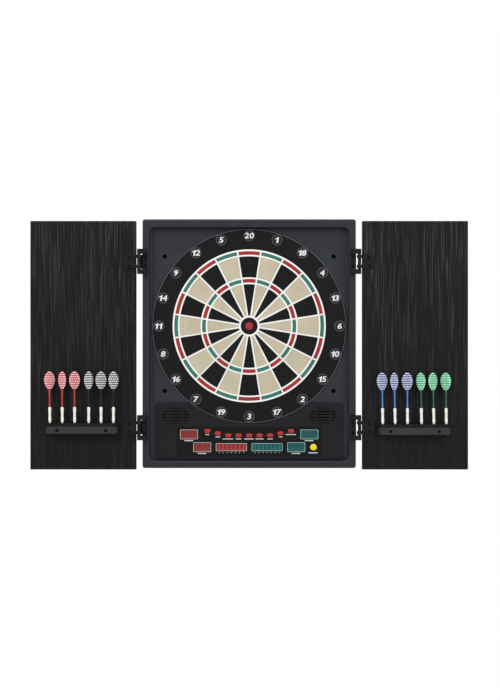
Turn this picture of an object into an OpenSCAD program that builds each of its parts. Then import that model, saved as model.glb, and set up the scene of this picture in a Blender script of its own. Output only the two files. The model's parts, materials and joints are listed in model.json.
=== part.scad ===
// Electronic dartboard: a soft-tip target with scoring electronics in a plastic housing,
// two hinged wooden doors, and twelve darts that stand in two racks.
//
// Axes: +X right, -Y towards the player, +Z up. The origin is on the bullseye's axis, in
// the plane of the wall. A depth is a distance from the wall, towards the player.

/* [Housing] */
// Width of the plastic housing
housing_w = 476; // [470:1:490]
// Height of the plastic housing
housing_h = 555; // [550:1:570]
// Top edge of the housing above the bullseye
housing_top = 238; // [237:0.5:242]
// Depth of the rim's front face
rim_depth = 50; // [50:1:54]
// Depth of the recess floor, in front of which the darts fly
floor_depth = 36; // [35.5:0.1:36.5]
// Wall thickness of the moulded shells
wall_t = 2.5; // [2:0.1:2.8]
// Width of the rim at the sides
rim_side = 16.2; // [16:0.1:17]
// Width of the rim at the top
rim_top = 18.6; // [17:0.1:20]
// Width of the rim at the bottom
rim_bottom = 16.5; // [16:0.1:18]

/* [Target] */
// Outer radius of the double ring, which is half of the scoring diameter less its border
double_out_r = 167.4; // [166:0.1:168]
// Inner radius of the double ring
double_in_r = 159.4; // [158.5:0.1:160]
// Outer radius of the treble ring
treble_out_r = 105.3; // [104.5:0.1:106]
// Inner radius of the treble ring
treble_in_r = 97.2; // [96.5:0.1:98]
// Outer radius of the outer bull
bull_out_r = 19; // [18.5:0.1:19.5]
// Radius of the bullseye
bullseye_r = 8.3; // [8:0.1:9.5]
// Width of the spider's straight webs between sectors
web_w = 3.3; // [3:0.1:3.6]
// Width of the spider's round webs
ring_web_w = 3.6; // [3.2:0.1:3.8]
// Number of scoring sectors
sectors = 20; // [20]
// Outer radius of the catch ring, which carries the numbers
catch_out_r = 216.7; // [215:0.1:217]
// Radius on which the number discs lie
number_r = 202.3; // [200:0.1:203]
// Radius of each number disc
disc_r = 12.4; // [10:0.1:13]
// How far a segment can be pressed in
segment_travel = 1.5; // [1:0.1:1.5]

/* [Console] */
// Width of the raised console under the target
console_w = 421; // [410:1:424]
// Top edge of the console, below the bullseye
console_top = -170.5; // [-175:0.5:-168]
// Width of the printed panel
panel_w = 324; // [320:1:330]
// Height of the printed panel
panel_h = 66; // [64:1:68]
// Height of the panel's centre
panel_z = -258.3; // [-259:0.1:-257]
// Pitch of the red buttons
button_pitch = 23.4; // [22:0.1:24]
// Width of a red button
button_w = 14.6; // [12:0.1:15]
// Height of a red button
button_h = 9.4; // [8:0.1:10]
// Diameter of the yellow button
round_button_d = 15; // [12:0.1:16]
// How far a button can be pressed in
button_travel = 1.2; // [0.8:0.1:1.2]

/* [Doors] */
// Width of one door
door_w = 235.9; // [230:0.1:236]
// Height of one door
door_h = 553.6; // [540:0.1:560]
// Thickness of one door
door_t = 9; // [8:0.5:9]
// Height of the doors' centre
door_z = -43; // [-46:0.5:-40]
// Distance of each hinge axis from the middle of the board
hinge_x = 244.9; // [244:0.1:246]
// Height of the upper hinges
hinge_z_top = 143.2; // [130:0.1:150]
// Height of the lower hinges
hinge_z_low = -226.1; // [-230:0.1:-220]

/* [Darts] */
// Distance between neighbouring darts of one colour
dart_pitch = 27.4; // [26:0.1:28]
// Distance between the two colours on one rack
dart_mid_gap = 31.1; // [30:0.1:33]
// Middle of the left rack
rack_x_left = -371; // [-375:0.5:-365]
// Middle of the right rack
rack_x_right = 366.3; // [365:0.1:375]
// Height of the foot of the barrels in the left rack
barrel_foot_z = -215.3; // [-220:0.1:-210]
// How much lower the right rack is screwed on
right_rack_drop = 2.5; // [0:0.1:4]
// Span of a flight
flight_span = 23.8; // [20:0.1:24]

/* [Hidden] */
$fn = 96;

// Small distances used throughout
touch = 0.01; // how far two pieces of one solid run into each other
cut = 1; // how far a cut runs past the face that it opens
run_gap = 0.05; // radial clearance of a pin or a screw in its hole

// Housing outline and recess
housing_mid_z = housing_top - housing_h / 2;
housing_corner = 5.5;
recess_corner = 12;
recess_w = housing_w - 2 * rim_side;
recess_h = housing_h - rim_top - rim_bottom;
recess_mid_z = housing_mid_z + (rim_bottom - rim_top) / 2;
recess_low = recess_mid_z - recess_h / 2;
floor_back = floor_depth - wall_t;
target_hole_r = catch_out_r + 0.3;

// Rear cover
cover_t = 2.5;
cover_skirt = 8;
lip_gap = 0.2;
lip_t = 1.2;
lip_depth = cover_skirt + 2.5;
rib_depth = 7.5;
rib_xs = [-120, -40, 40, 120];
vent_count = 9;

// Wall screws: a tube behind the recess for the screwdriver, a hole in the rear cover
wall_screw_w = 378;
wall_screw_h = 301;
wall_screw_z = 5;
wall_hole_r = 3.2;
tube_r = 4.7;
tube_wall = 2.3;
pad_depth = 5;

// Cover screws
screw_x = housing_w / 2 - 8.4;
screw_top_z = housing_top - 8.4;
screw_low_z = housing_top - housing_h + 8.4;
cover_screws = [
    for (sx = [-1, 1]) for (p = [
        [screw_x, screw_top_z], [screw_x, 50], [screw_x, -130], [screw_x, screw_low_z],
        [80, screw_top_z], [80, screw_low_z]
    ]) [sx * p[0], p[1]]
];
screw_r = 1.5;
head_r = 2.9;
head_t = 1.6;
cover_boss_r = 4.2;
cover_boss_depth = 24;

// Depths of the target's layers
spider_back = 28;
spider_front = 40.2;
segment_front = 39.6;
bullseye_front = 40.4;
flange_back = 26;
flange_front = 27.7;
mat_front = 24.2;
mat_back = 22.2;
board_front = 21.6;
board_back = 18.6;
catch_front = 39.5;
catch_face_t = 2.5;
disc_front = 40;
segment_gap = 0.35;
flange_lap = 0.6;
border_w = 3.9;
spider_out_r = double_out_r + border_w;
spider_flange_r = 176.5;
catch_in_r = spider_out_r + 0.2;
mat_r = 171;
board_r = 189;
board_hole_r = 183;
board_boss_count = 10;
catch_flange_r = 221;
lug_r = 7;
lug_centre_r = 224;
sector_angle = 360 / sectors;
inner_single_in_r = bull_out_r + 4.4;

// Console and its electronics
console_depth = 38.2;
console_corner = 9;
console_low = recess_low + 0.9;
console_h = console_top - console_low;
console_mid_z = (console_top + console_low) / 2;
overlay_t = 0.5;
window_gap = 0.3;
pcb_back = 24.9;
pcb_front = 26.5;
pcb_w = 336;
pcb_h = 69;
pcb_z = -262.5;
pcb_bosses = [[-164, -234], [164, -234], [-164, -291], [164, -291], [0, -258], [0, -291]];
pcb_boss_r = 3.4;
digit_w = 38.7;
digit_h = 20.3;
bar_w = 68.2;
bar_h = 16.2;
red_modules = [[-134.6, -242.5, digit_w, digit_h], [-105.2, -271.1, digit_w, digit_h], [-39.9, -271, bar_w, bar_h]];
green_modules = [[134.6, -242.5, digit_w, digit_h], [105.2, -271.1, digit_w, digit_h], [39.9, -271, bar_w, bar_h]];
module_front = 38.5;
button_arc = [-235.1, -240.3, -245, -245, -245, -245, -245, -240.3, -235.1];
round_button_at = [143.7, -271.1];
button_front = 41;
button_back = 30.8;
button_flange_back = 33.3;
button_flange_front = 35.2;
button_flange = 1.9;
button_gap = 0.5;
keypad_t = 1;
dome_front = 29.2;
dome_r = 4;
speaker_at = [165, -201.4];
grille_a = 30.7;
grille_b = 20.6;
slot_pitch = 6.6;
slot_h = 3;
speaker_r = 21;
tail_w = 30;

// Power inlet in the bottom wall
jack_x = 156;
jack_depth = 16;
jack_body = [14, 11, 13];
jack_bore_r = 3.2;
jack_pin_r = 1.05;
jack_pin_l = 9;
jack_nose_r = 4.4;
housing_low = housing_top - housing_h;

// Hinges
axis_depth = rim_depth + 8.5;
bracket_h = 55.6;
arm_h = 10.4;
arm_out = 3.9;
base_t = 3;
bar_r = 3.85;
bar_l = bracket_h - 2 * arm_h - 0.4;
pin_r = 2;
knuckle_r = 6.2;
knuckle_h = 6.9;
knuckle_at = 11;
clip_w = 27;
clip_h = 30;
clip_t = 2.5;
clip_start = 7.2;

// Doors and racks
door_near = 6.7;
rack_w = 159;
rack_depth = 20;
shelf_depth = 17.5;
rack_front_h = 14.4;
rack_clear = 0.3;
rack_screw_at = 54;
dart_depth = rim_depth + 13.5;
tip_hole_r = 2.4;
rack_low = barrel_foot_z - 23.3;
rack_screw_r = 1.9;
clip_screw_r = 1.5;

// Darts
barrel_l = 35.3;
stem_l = 38.4;
flight_l = 40.4;
tip_l = 25.5;
flight_t = 0.8;
flight_steps = 12;

// ---------------------------------------------------------------- shared shapes

// A flat shape drawn in X and Z, standing from one depth to another
module layer(from, to) {
    translate([0, -from, 0]) rotate([90, 0, 0]) linear_extrude(to - from) children();
}

// A rod along the depth
module rod(at, r, from, to) {
    translate([at[0], -from, at[1]]) rotate([90, 0, 0]) cylinder(r = r, h = to - from);
}

module rounded_rect(w, h, r) {
    square([w - 2 * r, h], center = true);
    square([w, h - 2 * r], center = true);
    for (sx = [-1, 1], sz = [-1, 1]) translate([sx * (w / 2 - r), sz * (h / 2 - r)]) circle(r);
}

module annulus(r_in, r_out) {
    difference() {
        circle(r_out);
        circle(r_in);
    }
}

module oval(w, h) {
    square([w - h, h], center = true);
    for (s = [-1, 1]) translate([s * (w - h) / 2, 0]) circle(h / 2);
}

// The housing's outline, drawn in from its edge
module housing_outline(inset) {
    translate([0, housing_mid_z]) rounded_rect(
        housing_w - 2 * inset, housing_h - 2 * inset, max(housing_corner - inset, 1));
}

// The recess's outline, grown past its edge
module recess_outline(grow) {
    translate([0, recess_mid_z]) rounded_rect(
        recess_w + 2 * grow, recess_h + 2 * grow, recess_corner + grow);
}

module console_outline(inset) {
    translate([0, console_mid_z]) rounded_rect(
        console_w - 2 * inset, console_h - 2 * inset, console_corner - inset);
}

// A screw along the depth, with its head at the end nearest the wall
module screw_from_back(at, r, head_from, tip) {
    rod(at, head_r, head_from, head_from + head_t);
    rod(at, r, head_from + head_t - touch, tip);
}

// ---------------------------------------------------------------- housing

module speaker_slots() {
    for (sx = [-1, 1], k = [-2.5:1:2.5]) {
        half = grille_a * sqrt(1 - pow(k * slot_pitch / grille_b, 2));
        translate([sx * speaker_at[0], speaker_at[1] + k * slot_pitch])
            square([2 * half, slot_h], center = true);
    }
}

module display_windows(gap) {
    for (m = concat(red_modules, green_modules))
        translate([m[0], m[1]]) square([m[2] + 2 * gap, m[3] + 2 * gap], center = true);
}

module button_holes(gap) {
    for (k = [0:8]) translate([(k - 4) * button_pitch, button_arc[k]])
        oval(button_w + 2 * gap, button_h + 2 * gap);
    translate(round_button_at) circle(round_button_d / 2 + gap);
}

module bracket_screw_spots() {
    for (sx = [-1, 1], z = [hinge_z_top, hinge_z_low], s = [-1, 1])
        translate([sx * (housing_w / 2 - 7.5), z + s * 10.5]) children();
}

module wall_screw_spots() {
    for (sx = [-1, 1], sz = [-1, 1])
        translate([sx * wall_screw_w / 2, wall_screw_z + sz * wall_screw_h / 2]) children();
}

module front_housing() {
    color("#393a3e") difference() {
        union() {
            // outer wall
            layer(cover_skirt, rim_depth) difference() {
                housing_outline(0);
                housing_outline(wall_t);
            }
            // rim
            layer(rim_depth - wall_t, rim_depth) difference() {
                housing_outline(touch);
                recess_outline(0);
            }
            // sides of the recess
            layer(floor_back, rim_depth - touch) difference() {
                recess_outline(wall_t);
                recess_outline(0);
            }
            // floor of the recess
            layer(floor_back, floor_depth) difference() {
                recess_outline(wall_t - touch);
                circle(target_hole_r);
            }
            // raised console
            layer(floor_back, console_depth) difference() {
                console_outline(0);
                circle(target_hole_r);
            }
            // bosses for the rear cover's screws, each on a post that reaches the rim
            for (p = cover_screws) rod(p, cover_boss_r, cover_t, rim_depth - touch);
            // posts behind the rim for the hinge brackets' screws
            layer(38, rim_depth - touch) bracket_screw_spots() circle(3.6);
            // cradle for the power inlet
            for (s = [-1, 1])
                translate([jack_x + s * (jack_body[0] / 2 + 1), -jack_depth, housing_low + wall_t + 5 - touch])
                    cube([2, jack_body[1], 10], center = true);
        }
        // hollow behind the console
        difference() {
            layer(floor_back - cut, console_depth - wall_t) console_outline(wall_t);
            for (p = pcb_bosses) rod(p, pcb_boss_r, pcb_front, console_depth);
        }
        layer(floor_depth - 8, console_depth + cut) speaker_slots();
        layer(floor_depth - 8, console_depth + cut) display_windows(window_gap);
        layer(floor_depth - 8, console_depth + cut) button_holes(button_gap);
        layer(floor_back - cut, floor_depth + cut) wall_screw_spots() circle(tube_r);
        for (p = cover_screws) rod(p, screw_r + run_gap, cover_t - cut, cover_boss_depth);
        layer(40, rim_depth + cut) bracket_screw_spots() circle(screw_r + run_gap);
        translate([jack_x, -jack_depth, housing_low - cut]) cylinder(r = jack_nose_r + 0.2, h = wall_t + 2 * cut);
    }
    // posts for the control board, which hang from the back of the console
    color("#393a3e") for (p = pcb_bosses) difference() {
        rod(p, pcb_boss_r, pcb_front, console_depth - wall_t + touch);
        rod(p, screw_r + run_gap, pcb_front - cut, console_depth - wall_t - 1);
    }
}

// Tubes between the recess floor and the rear cover, which guide the wall screws
module wall_screw_tubes() {
    color("#393a3e") layer(cover_t, floor_back) wall_screw_spots() annulus(tube_r, tube_r + tube_wall);
}

module rear_cover() {
    color("#2b2c2f") difference() {
        union() {
            layer(0, cover_t) housing_outline(0);
            layer(cover_t - touch, cover_skirt) difference() {
                housing_outline(0);
                housing_outline(wall_t);
            }
            layer(cover_t - touch, lip_depth) difference() {
                housing_outline(wall_t + lip_gap);
                housing_outline(wall_t + lip_gap + lip_t);
            }
            // joins the lip to the skirt
            layer(cover_t - touch, cover_skirt - 2) difference() {
                housing_outline(wall_t - touch);
                housing_outline(wall_t + lip_gap + touch);
            }
            for (x = rib_xs) layer(cover_t - touch, rib_depth)
                translate([x, housing_mid_z]) square([2, housing_h - 40], center = true);
            layer(cover_t - touch, pad_depth) wall_screw_spots() circle(tube_r - 0.4);
        }
        layer(-cut, pad_depth + cut) wall_screw_spots() circle(wall_hole_r);
        for (p = cover_screws) {
            rod(p, screw_r + 0.3, -cut, cover_t + cut);
            rod(p, head_r + 0.2, -cut, head_t);
        }
        // vent slots behind the electronics
        layer(-cut, cover_t + cut) for (k = [0:vent_count - 1])
            translate([0, -200 - 7 * k]) oval(60, 3);
    }
}

module housing_screws() {
    color("#8d9096") {
        for (p = cover_screws) screw_from_back(p, screw_r, 0, cover_boss_depth - 2);
        bracket_screw_solids();
    }
}

// Screws that hold the hinge brackets, driven from the front
module bracket_screw_solids() {
    layer(41, rim_depth + base_t + touch) bracket_screw_spots() circle(screw_r);
    layer(rim_depth + base_t, rim_depth + base_t + 1.2) bracket_screw_spots() circle(head_r);
}

// ---------------------------------------------------------------- target

module catch_ring() {
    color("#1b1b1d") difference() {
        union() {
            layer(catch_front - catch_face_t, catch_front) annulus(catch_in_r, catch_out_r);
            layer(spider_back + 2.5, catch_front - touch) annulus(catch_in_r, catch_in_r + wall_t);
            layer(floor_back - 2.5, catch_front - touch) annulus(catch_out_r - wall_t, catch_out_r);
            layer(floor_back - 2.5, floor_back) annulus(catch_out_r - wall_t, catch_flange_r);
            for (k = [0:3]) layer(floor_back - 2.5, floor_back)
                rotate(45 + 90 * k) translate([lug_centre_r, 0]) circle(lug_r);
            for (k = [0:board_boss_count - 1]) layer(board_front, catch_front - 1)
                rotate(36 * k) translate([board_hole_r, 0]) circle(5);
            for (k = [0:sectors - 1]) layer(catch_front - touch, disc_front)
                rotate(sector_angle * k) translate([0, number_r]) circle(disc_r);
        }
        for (k = [0:board_boss_count - 1]) layer(board_front - cut, catch_front - 4)
            rotate(36 * k) translate([board_hole_r, 0]) circle(screw_r + run_gap);
        for (k = [0:3]) layer(floor_back - 4, floor_back + cut)
            rotate(45 + 90 * k) translate([lug_centre_r + 2, 0]) circle(screw_r + run_gap);
    }
}

module spider_web() {
    color("#ecebe6") {
        layer(spider_back, spider_front) {
            annulus(bull_out_r, inner_single_in_r);
            annulus(treble_in_r - ring_web_w, treble_in_r);
            annulus(treble_out_r, treble_out_r + ring_web_w);
            annulus(double_in_r - ring_web_w, double_in_r);
            annulus(double_out_r, spider_out_r);
            for (k = [0:sectors - 1]) rotate(sector_angle * (k + 0.5))
                translate([-web_w / 2, (bull_out_r + inner_single_in_r) / 2])
                    square([web_w, double_out_r + 1 - (bull_out_r + inner_single_in_r) / 2]);
        }
        layer(spider_back, spider_back + 2.5) annulus(double_out_r + 2, spider_flange_r);
    }
}

// One sector of the target between two radii, with its straight sides drawn in by a gap
module sector(r_in, r_out, gap) {
    half = sector_angle / 2;
    reach = r_out + 40;
    intersection() {
        annulus(r_in, r_out);
        translate([0, gap / sin(half)]) polygon([
            [0, 0], [-reach * sin(half), reach * cos(half)], [reach * sin(half), reach * cos(half)]
        ]);
    }
}

// Every second segment of one ring, each with a flange that stops it at the spider's back
module segments(r_in, r_out, first) {
    for (k = [first:2:sectors - 1]) rotate([0, sector_angle * k, 0]) {
        layer(flange_front - touch, segment_front)
            sector(r_in + segment_gap, r_out - segment_gap, web_w / 2 + segment_gap);
        layer(flange_back, flange_front)
            sector(r_in - flange_lap, r_out + flange_lap, web_w / 2 - flange_lap);
    }
}

module double_segments_red() {
    color("#be3c37") segments(double_in_r, double_out_r, 0);
}

module double_segments_green() {
    color("#3c8c7d") segments(double_in_r, double_out_r, 1);
}

module treble_segments_red() {
    color("#be3c37") segments(treble_in_r, treble_out_r, 0);
}

module treble_segments_green() {
    color("#3c8c7d") segments(treble_in_r, treble_out_r, 1);
}

module outer_single_segments_black() {
    color("#202322") segments(treble_out_r + ring_web_w, double_in_r - ring_web_w, 0);
}

module outer_single_segments_cream() {
    color("#d2c8b0") segments(treble_out_r + ring_web_w, double_in_r - ring_web_w, 1);
}

module inner_single_segments_black() {
    color("#202322") segments(inner_single_in_r, treble_in_r - ring_web_w, 0);
}

module inner_single_segments_cream() {
    color("#d2c8b0") segments(inner_single_in_r, treble_in_r - ring_web_w, 1);
}

module outer_bull() {
    color("#202322") difference() {
        union() {
            layer(flange_front - touch, segment_front) circle(bull_out_r - segment_gap);
            layer(flange_back, flange_front) circle(bull_out_r + flange_lap);
        }
        layer(flange_back - cut, segment_front + cut) circle(bullseye_r + segment_gap);
        // room for the bullseye's flange when the outer bull is pressed alone
        layer(flange_back - cut, flange_front + segment_travel + 0.8) circle(bullseye_r + 1.6);
    }
}

module bullseye() {
    color("#be3c37") {
        layer(flange_front - touch, bullseye_front) circle(bullseye_r);
        layer(flange_back, flange_front) circle(bullseye_r + 1.2);
    }
}

module rubber_mat() {
    color("#3a3a3a") layer(mat_back, mat_front) circle(mat_r);
}

module membrane_sheet() {
    color("#c9b27a") layer(board_front, mat_back) circle(mat_r);
}

module pressure_board() {
    color("#8a6a45") difference() {
        union() {
            layer(board_back, board_front) circle(board_r);
            layer(board_front - touch, spider_back) annulus(mat_r + 0.5, spider_flange_r);
        }
        for (k = [0:board_boss_count - 1]) layer(board_back - cut, board_front + cut)
            rotate(36 * k) translate([board_hole_r, 0]) circle(screw_r + run_gap);
        // notch in the rim for the membrane's tail
        layer(board_front, spider_back + cut)
            translate([0, -mat_r - 5]) square([tail_w + 4, 14], center = true);
    }
}

module board_screws() {
    color("#8d9096") {
        for (k = [0:board_boss_count - 1]) rotate([0, 36 * k, 0])
            screw_from_back([board_hole_r, 0], screw_r, board_back - head_t, catch_front - 6);
        for (k = [0:3]) rotate([0, 45 + 90 * k, 0])
            screw_from_back([lug_centre_r + 2, 0], screw_r, floor_back - 2.5 - head_t, floor_back);
        for (p = pcb_bosses) screw_from_back(p, screw_r, pcb_back - head_t, floor_back - 0.8);
    }
}

// ---------------------------------------------------------------- electronics

module ribbon_cable() {
    color("#c9b27a") {
        // tail of the membrane, down to the control board
        layer(board_front, board_front + 0.4) translate([-tail_w / 2, -238]) square([tail_w, 238 - mat_r - 0.4]);
        // lead from the power inlet
        translate([jack_x - 2.5, -19.6, housing_low + wall_t + jack_body[2]])
            cube([5, 0.6, 13]);
        translate([jack_x - 2.5, -21, housing_low + wall_t + jack_body[2] + 10])
            cube([5, 2, 3]);
    }
}

module control_board() {
    color("#2f6b3c") {
        difference() {
            layer(pcb_back, pcb_front) translate([0, pcb_z]) square([pcb_w, pcb_h], center = true);
            for (p = pcb_bosses) rod(p, screw_r + run_gap, pcb_back - cut, pcb_front + cut);
        }
        // connectors and chips on the back
        layer(board_front + 0.4, pcb_back + touch) translate([0, -235]) square([34, 8], center = true);
        layer(21, pcb_back + touch) translate([jack_x, -288]) square([9, 8], center = true);
        layer(23, pcb_back + touch) translate([-60, -262]) square([30, 30], center = true);
        layer(22.5, pcb_back + touch) translate([50, -268]) square([26, 10], center = true);
    }
}

module display_modules(list) {
    for (m = list) layer(pcb_front, module_front) translate([m[0], m[1]]) square([m[2], m[3]], center = true);
}

module red_displays() {
    color("#7e2a26") display_modules(red_modules);
}

module green_displays() {
    color("#1f5c54") display_modules(green_modules);
}

module panel_overlay() {
    color("#202125") layer(console_depth, console_depth + overlay_t) difference() {
        translate([0, panel_z]) rounded_rect(panel_w, panel_h, 2);
        display_windows(window_gap);
        button_holes(button_gap);
    }
}

module keypad() {
    color("#b9b9b4") {
        layer(pcb_front, pcb_front + keypad_t) translate([0, -240]) square([210, 22], center = true);
        for (k = [0:8]) rod([(k - 4) * button_pitch, button_arc[k]], dome_r, pcb_front + keypad_t - touch, dome_front);
        rod(round_button_at, 9, pcb_front, pcb_front + keypad_t);
        rod(round_button_at, dome_r, pcb_front + keypad_t - touch, dome_front);
    }
}

module red_button(k) {
    color("#d02c2c") translate([(k - 5) * button_pitch, 0, button_arc[k - 1]]) {
        layer(button_back, button_front) oval(button_w, button_h);
        layer(button_flange_back, button_flange_front)
            oval(button_w + 2 * button_flange, button_h + 2 * button_flange);
    }
}

module button_yellow() {
    color("#f2dc1e") {
        rod(round_button_at, round_button_d / 2, button_back, button_front);
        rod(round_button_at, round_button_d / 2 + button_flange, button_flange_back, button_flange_front);
    }
}

module speakers() {
    back = 20;
    front = console_depth - wall_t;
    color("#1c1c1c") for (sx = [-1, 1])
        translate([sx * speaker_at[0], -back, speaker_at[1]]) rotate([90, 0, 0]) rotate_extrude() polygon([
            [0, 0], [11, 0], [11, 7], [19, front - back - 2], [speaker_r, front - back - 2],
            [speaker_r, front - back], [17, front - back], [7, 9], [0, 9]
        ]);
}

module dc_jack() {
    color("#151515") translate([jack_x, -jack_depth, housing_low]) {
        difference() {
            union() {
                translate([0, 0, wall_t + jack_body[2] / 2]) cube(jack_body, center = true);
                translate([0, 0, 0.3]) cylinder(r = jack_nose_r, h = wall_t);
            }
            translate([0, 0, -cut]) cylinder(r = jack_bore_r, h = 0.3 + cut + jack_pin_l + 1);
        }
        translate([0, 0, 1.3]) cylinder(r = jack_pin_r, h = jack_pin_l + touch);
    }
}

// ---------------------------------------------------------------- hinges

// Draws its children at each hinge of one side, with X along the hinge axis's offset
// away from the board and Y towards the player, measured from the axis
module at_hinges(side) {
    for (z = [hinge_z_top, hinge_z_low]) translate([side * hinge_x, -axis_depth, z])
        mirror([side < 0 ? 1 : 0, 0, 0]) mirror([0, 1, 0]) children();
}

module hinge_brackets() {
    inner = hinge_x - (housing_w / 2 - 13.2);
    edge = hinge_x - housing_w / 2;
    low = axis_depth - rim_depth;
    color("#111113") for (side = [-1, 1]) at_hinges(side) difference() {
        union() {
            // base plate on the rim
            translate([-inner, -low, -bracket_h / 2]) cube([inner - edge, base_t, bracket_h]);
            // arms, with the outer front corner cut off
            for (s = [-1, 1]) translate([0, 0, s * (bracket_h - arm_h) / 2 - arm_h / 2])
                linear_extrude(arm_h) polygon([
                    [-inner, -low], [arm_out - 2, -low], [arm_out, 2 - low], [arm_out, arm_out - 2],
                    [arm_out - 2, arm_out], [-inner + 6, arm_out], [-inner, arm_out - 6]
                ]);
        }
        translate([0, 0, -bracket_h]) cylinder(r = pin_r + run_gap, h = 2 * bracket_h);
        for (s = [-1, 1]) translate([-hinge_x + housing_w / 2 - 7.5, 0, s * 10.5])
            rotate([90, 0, 0]) cylinder(r = screw_r + run_gap, h = 2 * low, center = true);
    }
}

module hinge_pins() {
    color("#1a1a1c") for (side = [-1, 1]) at_hinges(side) {
        cylinder(r = bar_r, h = bar_l, center = true);
        cylinder(r = pin_r, h = bracket_h, center = true);
    }
}

module hinge_clips(side) {
    low = axis_depth - rim_depth;
    color("#111113") at_hinges(side) difference() {
        union() {
            translate([clip_start, -low, -clip_h / 2]) cube([clip_w, clip_t, clip_h]);
            for (s = [-1, 1]) translate([0, 0, s * knuckle_at - knuckle_h / 2]) {
                cylinder(r = knuckle_r, h = knuckle_h);
                linear_extrude(knuckle_h) polygon([
                    [0, -knuckle_r], [clip_start, -low], [clip_start + 4, -low],
                    [clip_start + 4, clip_t - low], [clip_start, clip_t - low], [5.4, -3]
                ]);
            }
        }
        translate([0, 0, -clip_h]) cylinder(r = bar_r + run_gap, h = 2 * clip_h);
        for (s = [-1, 1]) translate([clip_start + 15, 0, s * 9])
            rotate([90, 0, 0]) cylinder(r = clip_screw_r + run_gap, h = 2 * low, center = true);
    }
}

module left_hinge_clips() {
    hinge_clips(-1);
}

module right_hinge_clips() {
    hinge_clips(1);
}

// ---------------------------------------------------------------- doors

function rack_x(side) = side < 0 ? rack_x_left : rack_x_right;
function rack_drop(side) = side < 0 ? 0 : right_rack_drop;
function dart_x(side, k) = rack_x(side)
    + (k < 4 ? -1 : 1) * (dart_mid_gap / 2 + (k < 4 ? 3 - k : k - 4) * dart_pitch);

// Where the screws of one door are: two for the rack, and two for each hinge clip
module rack_screw_spots(side) {
    for (s = [-1, 1]) translate([rack_x(side) + s * rack_screw_at, rack_low + rack_front_h / 2 - rack_drop(side)])
        children();
}

module clip_screw_spots(side) {
    for (z = [hinge_z_top, hinge_z_low], s = [-1, 1])
        translate([side * (hinge_x + clip_start + 15), z + s * 9]) children();
}

module door_panel(side) {
    color("#2a2a2c") difference() {
        layer(rim_depth - door_t, rim_depth)
            translate([side * (hinge_x + door_near + door_w / 2), door_z]) square([door_w, door_h], center = true);
        layer(rim_depth - 7, rim_depth + cut) rack_screw_spots(side) circle(rack_screw_r + run_gap);
        layer(rim_depth - 7, rim_depth + cut) clip_screw_spots(side) circle(clip_screw_r + run_gap);
    }
}

module left_door_panel() {
    door_panel(-1);
}

module right_door_panel() {
    door_panel(1);
}

module dart_rack(side) {
    shelf_z = barrel_foot_z - rack_clear;
    color("#18181a") translate([0, 0, -rack_drop(side)]) difference() {
        // section of the rack: depth in front of the door, and height
        translate([rack_x(side) - rack_w / 2, -rim_depth, 0]) rotate([90, 0, 90]) linear_extrude(rack_w) polygon([
            [0, rack_low], [-rack_depth, rack_low], [-rack_depth, rack_low + rack_front_h],
            [-shelf_depth, rack_low + rack_front_h + 2], [-shelf_depth, shelf_z], [0, shelf_z]
        ]);
        for (k = [1:6]) translate([dart_x(side, k), -dart_depth, rack_low - cut])
            cylinder(r = tip_hole_r, h = shelf_z - rack_low + 2 * cut);
        for (s = [-1, 1]) rod([rack_x(side) + s * rack_screw_at, rack_low + rack_front_h / 2],
            rack_screw_r + run_gap, rim_depth - cut, rim_depth + rack_depth + cut);
    }
}

module left_dart_rack() {
    dart_rack(-1);
}

module right_dart_rack() {
    dart_rack(1);
}

module door_screws(side) {
    color("#5b5c60") {
        layer(rim_depth - 6.5, rim_depth + rack_depth + touch) rack_screw_spots(side) circle(rack_screw_r);
        layer(rim_depth + rack_depth, rim_depth + rack_depth + 1.4) rack_screw_spots(side) circle(3.6);
        layer(rim_depth - 6.5, rim_depth + clip_t + touch) clip_screw_spots(side) circle(clip_screw_r);
        layer(rim_depth + clip_t, rim_depth + clip_t + 1) clip_screw_spots(side) circle(head_r);
    }
}

module left_door_screws() {
    door_screws(-1);
}

module right_door_screws() {
    door_screws(1);
}

// ---------------------------------------------------------------- darts

// Half the width of a flight at a share of its length: a teardrop, widest above its middle
function flight_half(t) = flight_span / 2 * pow(max(sin(180 * pow(t, 1.15)), 0), 0.5);

module flight() {
    edge = [for (k = [0:flight_steps]) [flight_half(k / flight_steps), flight_l * k / flight_steps]];
    back = [for (k = [flight_steps - 1:-1:1]) [-edge[k][0], edge[k][1]]];
    for (turn = [0, 90]) rotate([90, 0, turn]) linear_extrude(flight_t, center = true)
        polygon(concat(edge, back));
}

// A dart with the foot of its barrel at the origin, point down
module dart(turn) {
    translate([0, 0, -tip_l]) rotate_extrude() polygon([
        [0, 0], [0.6, 0], [1.3, 5], [1.3, tip_l - 3], [2, tip_l - 2], [2, tip_l], [0, tip_l]
    ]);
    rotate_extrude() polygon([
        [0, 0], [2.1, 0], [3.3, 5.5], [3.3, 8.5], [2.9, 16], [3.1, 25], [3.4, 28], [3.4, 33.5],
        [2.7, barrel_l], [0, barrel_l]
    ]);
    translate([0, 0, barrel_l]) rotate_extrude() polygon([
        [0, 0], [2.6, 0], [2.6, 23], [3.6, 36], [3.6, stem_l], [0, stem_l]
    ]);
    translate([0, 0, barrel_l + stem_l]) rotate([0, 0, turn]) flight();
}

// A dart in place k of its rack, counted from the left
module racked_dart(side, k, turn) {
    translate([dart_x(side, k), -dart_depth, barrel_foot_z - rack_drop(side)]) dart(turn);
}

module dart_red(n, turn) {
    color("#c64a48") racked_dart(-1, n, turn);
}

module dart_black(n, turn) {
    color("#3c3c3e") racked_dart(-1, n + 3, turn);
}

module dart_blue(n, turn) {
    color("#5669b0") racked_dart(1, n, turn);
}

module dart_green(n, turn) {
    color("#3da078") racked_dart(1, n + 3, turn);
}

// ---------------------------------------------------------------- nodes

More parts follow.
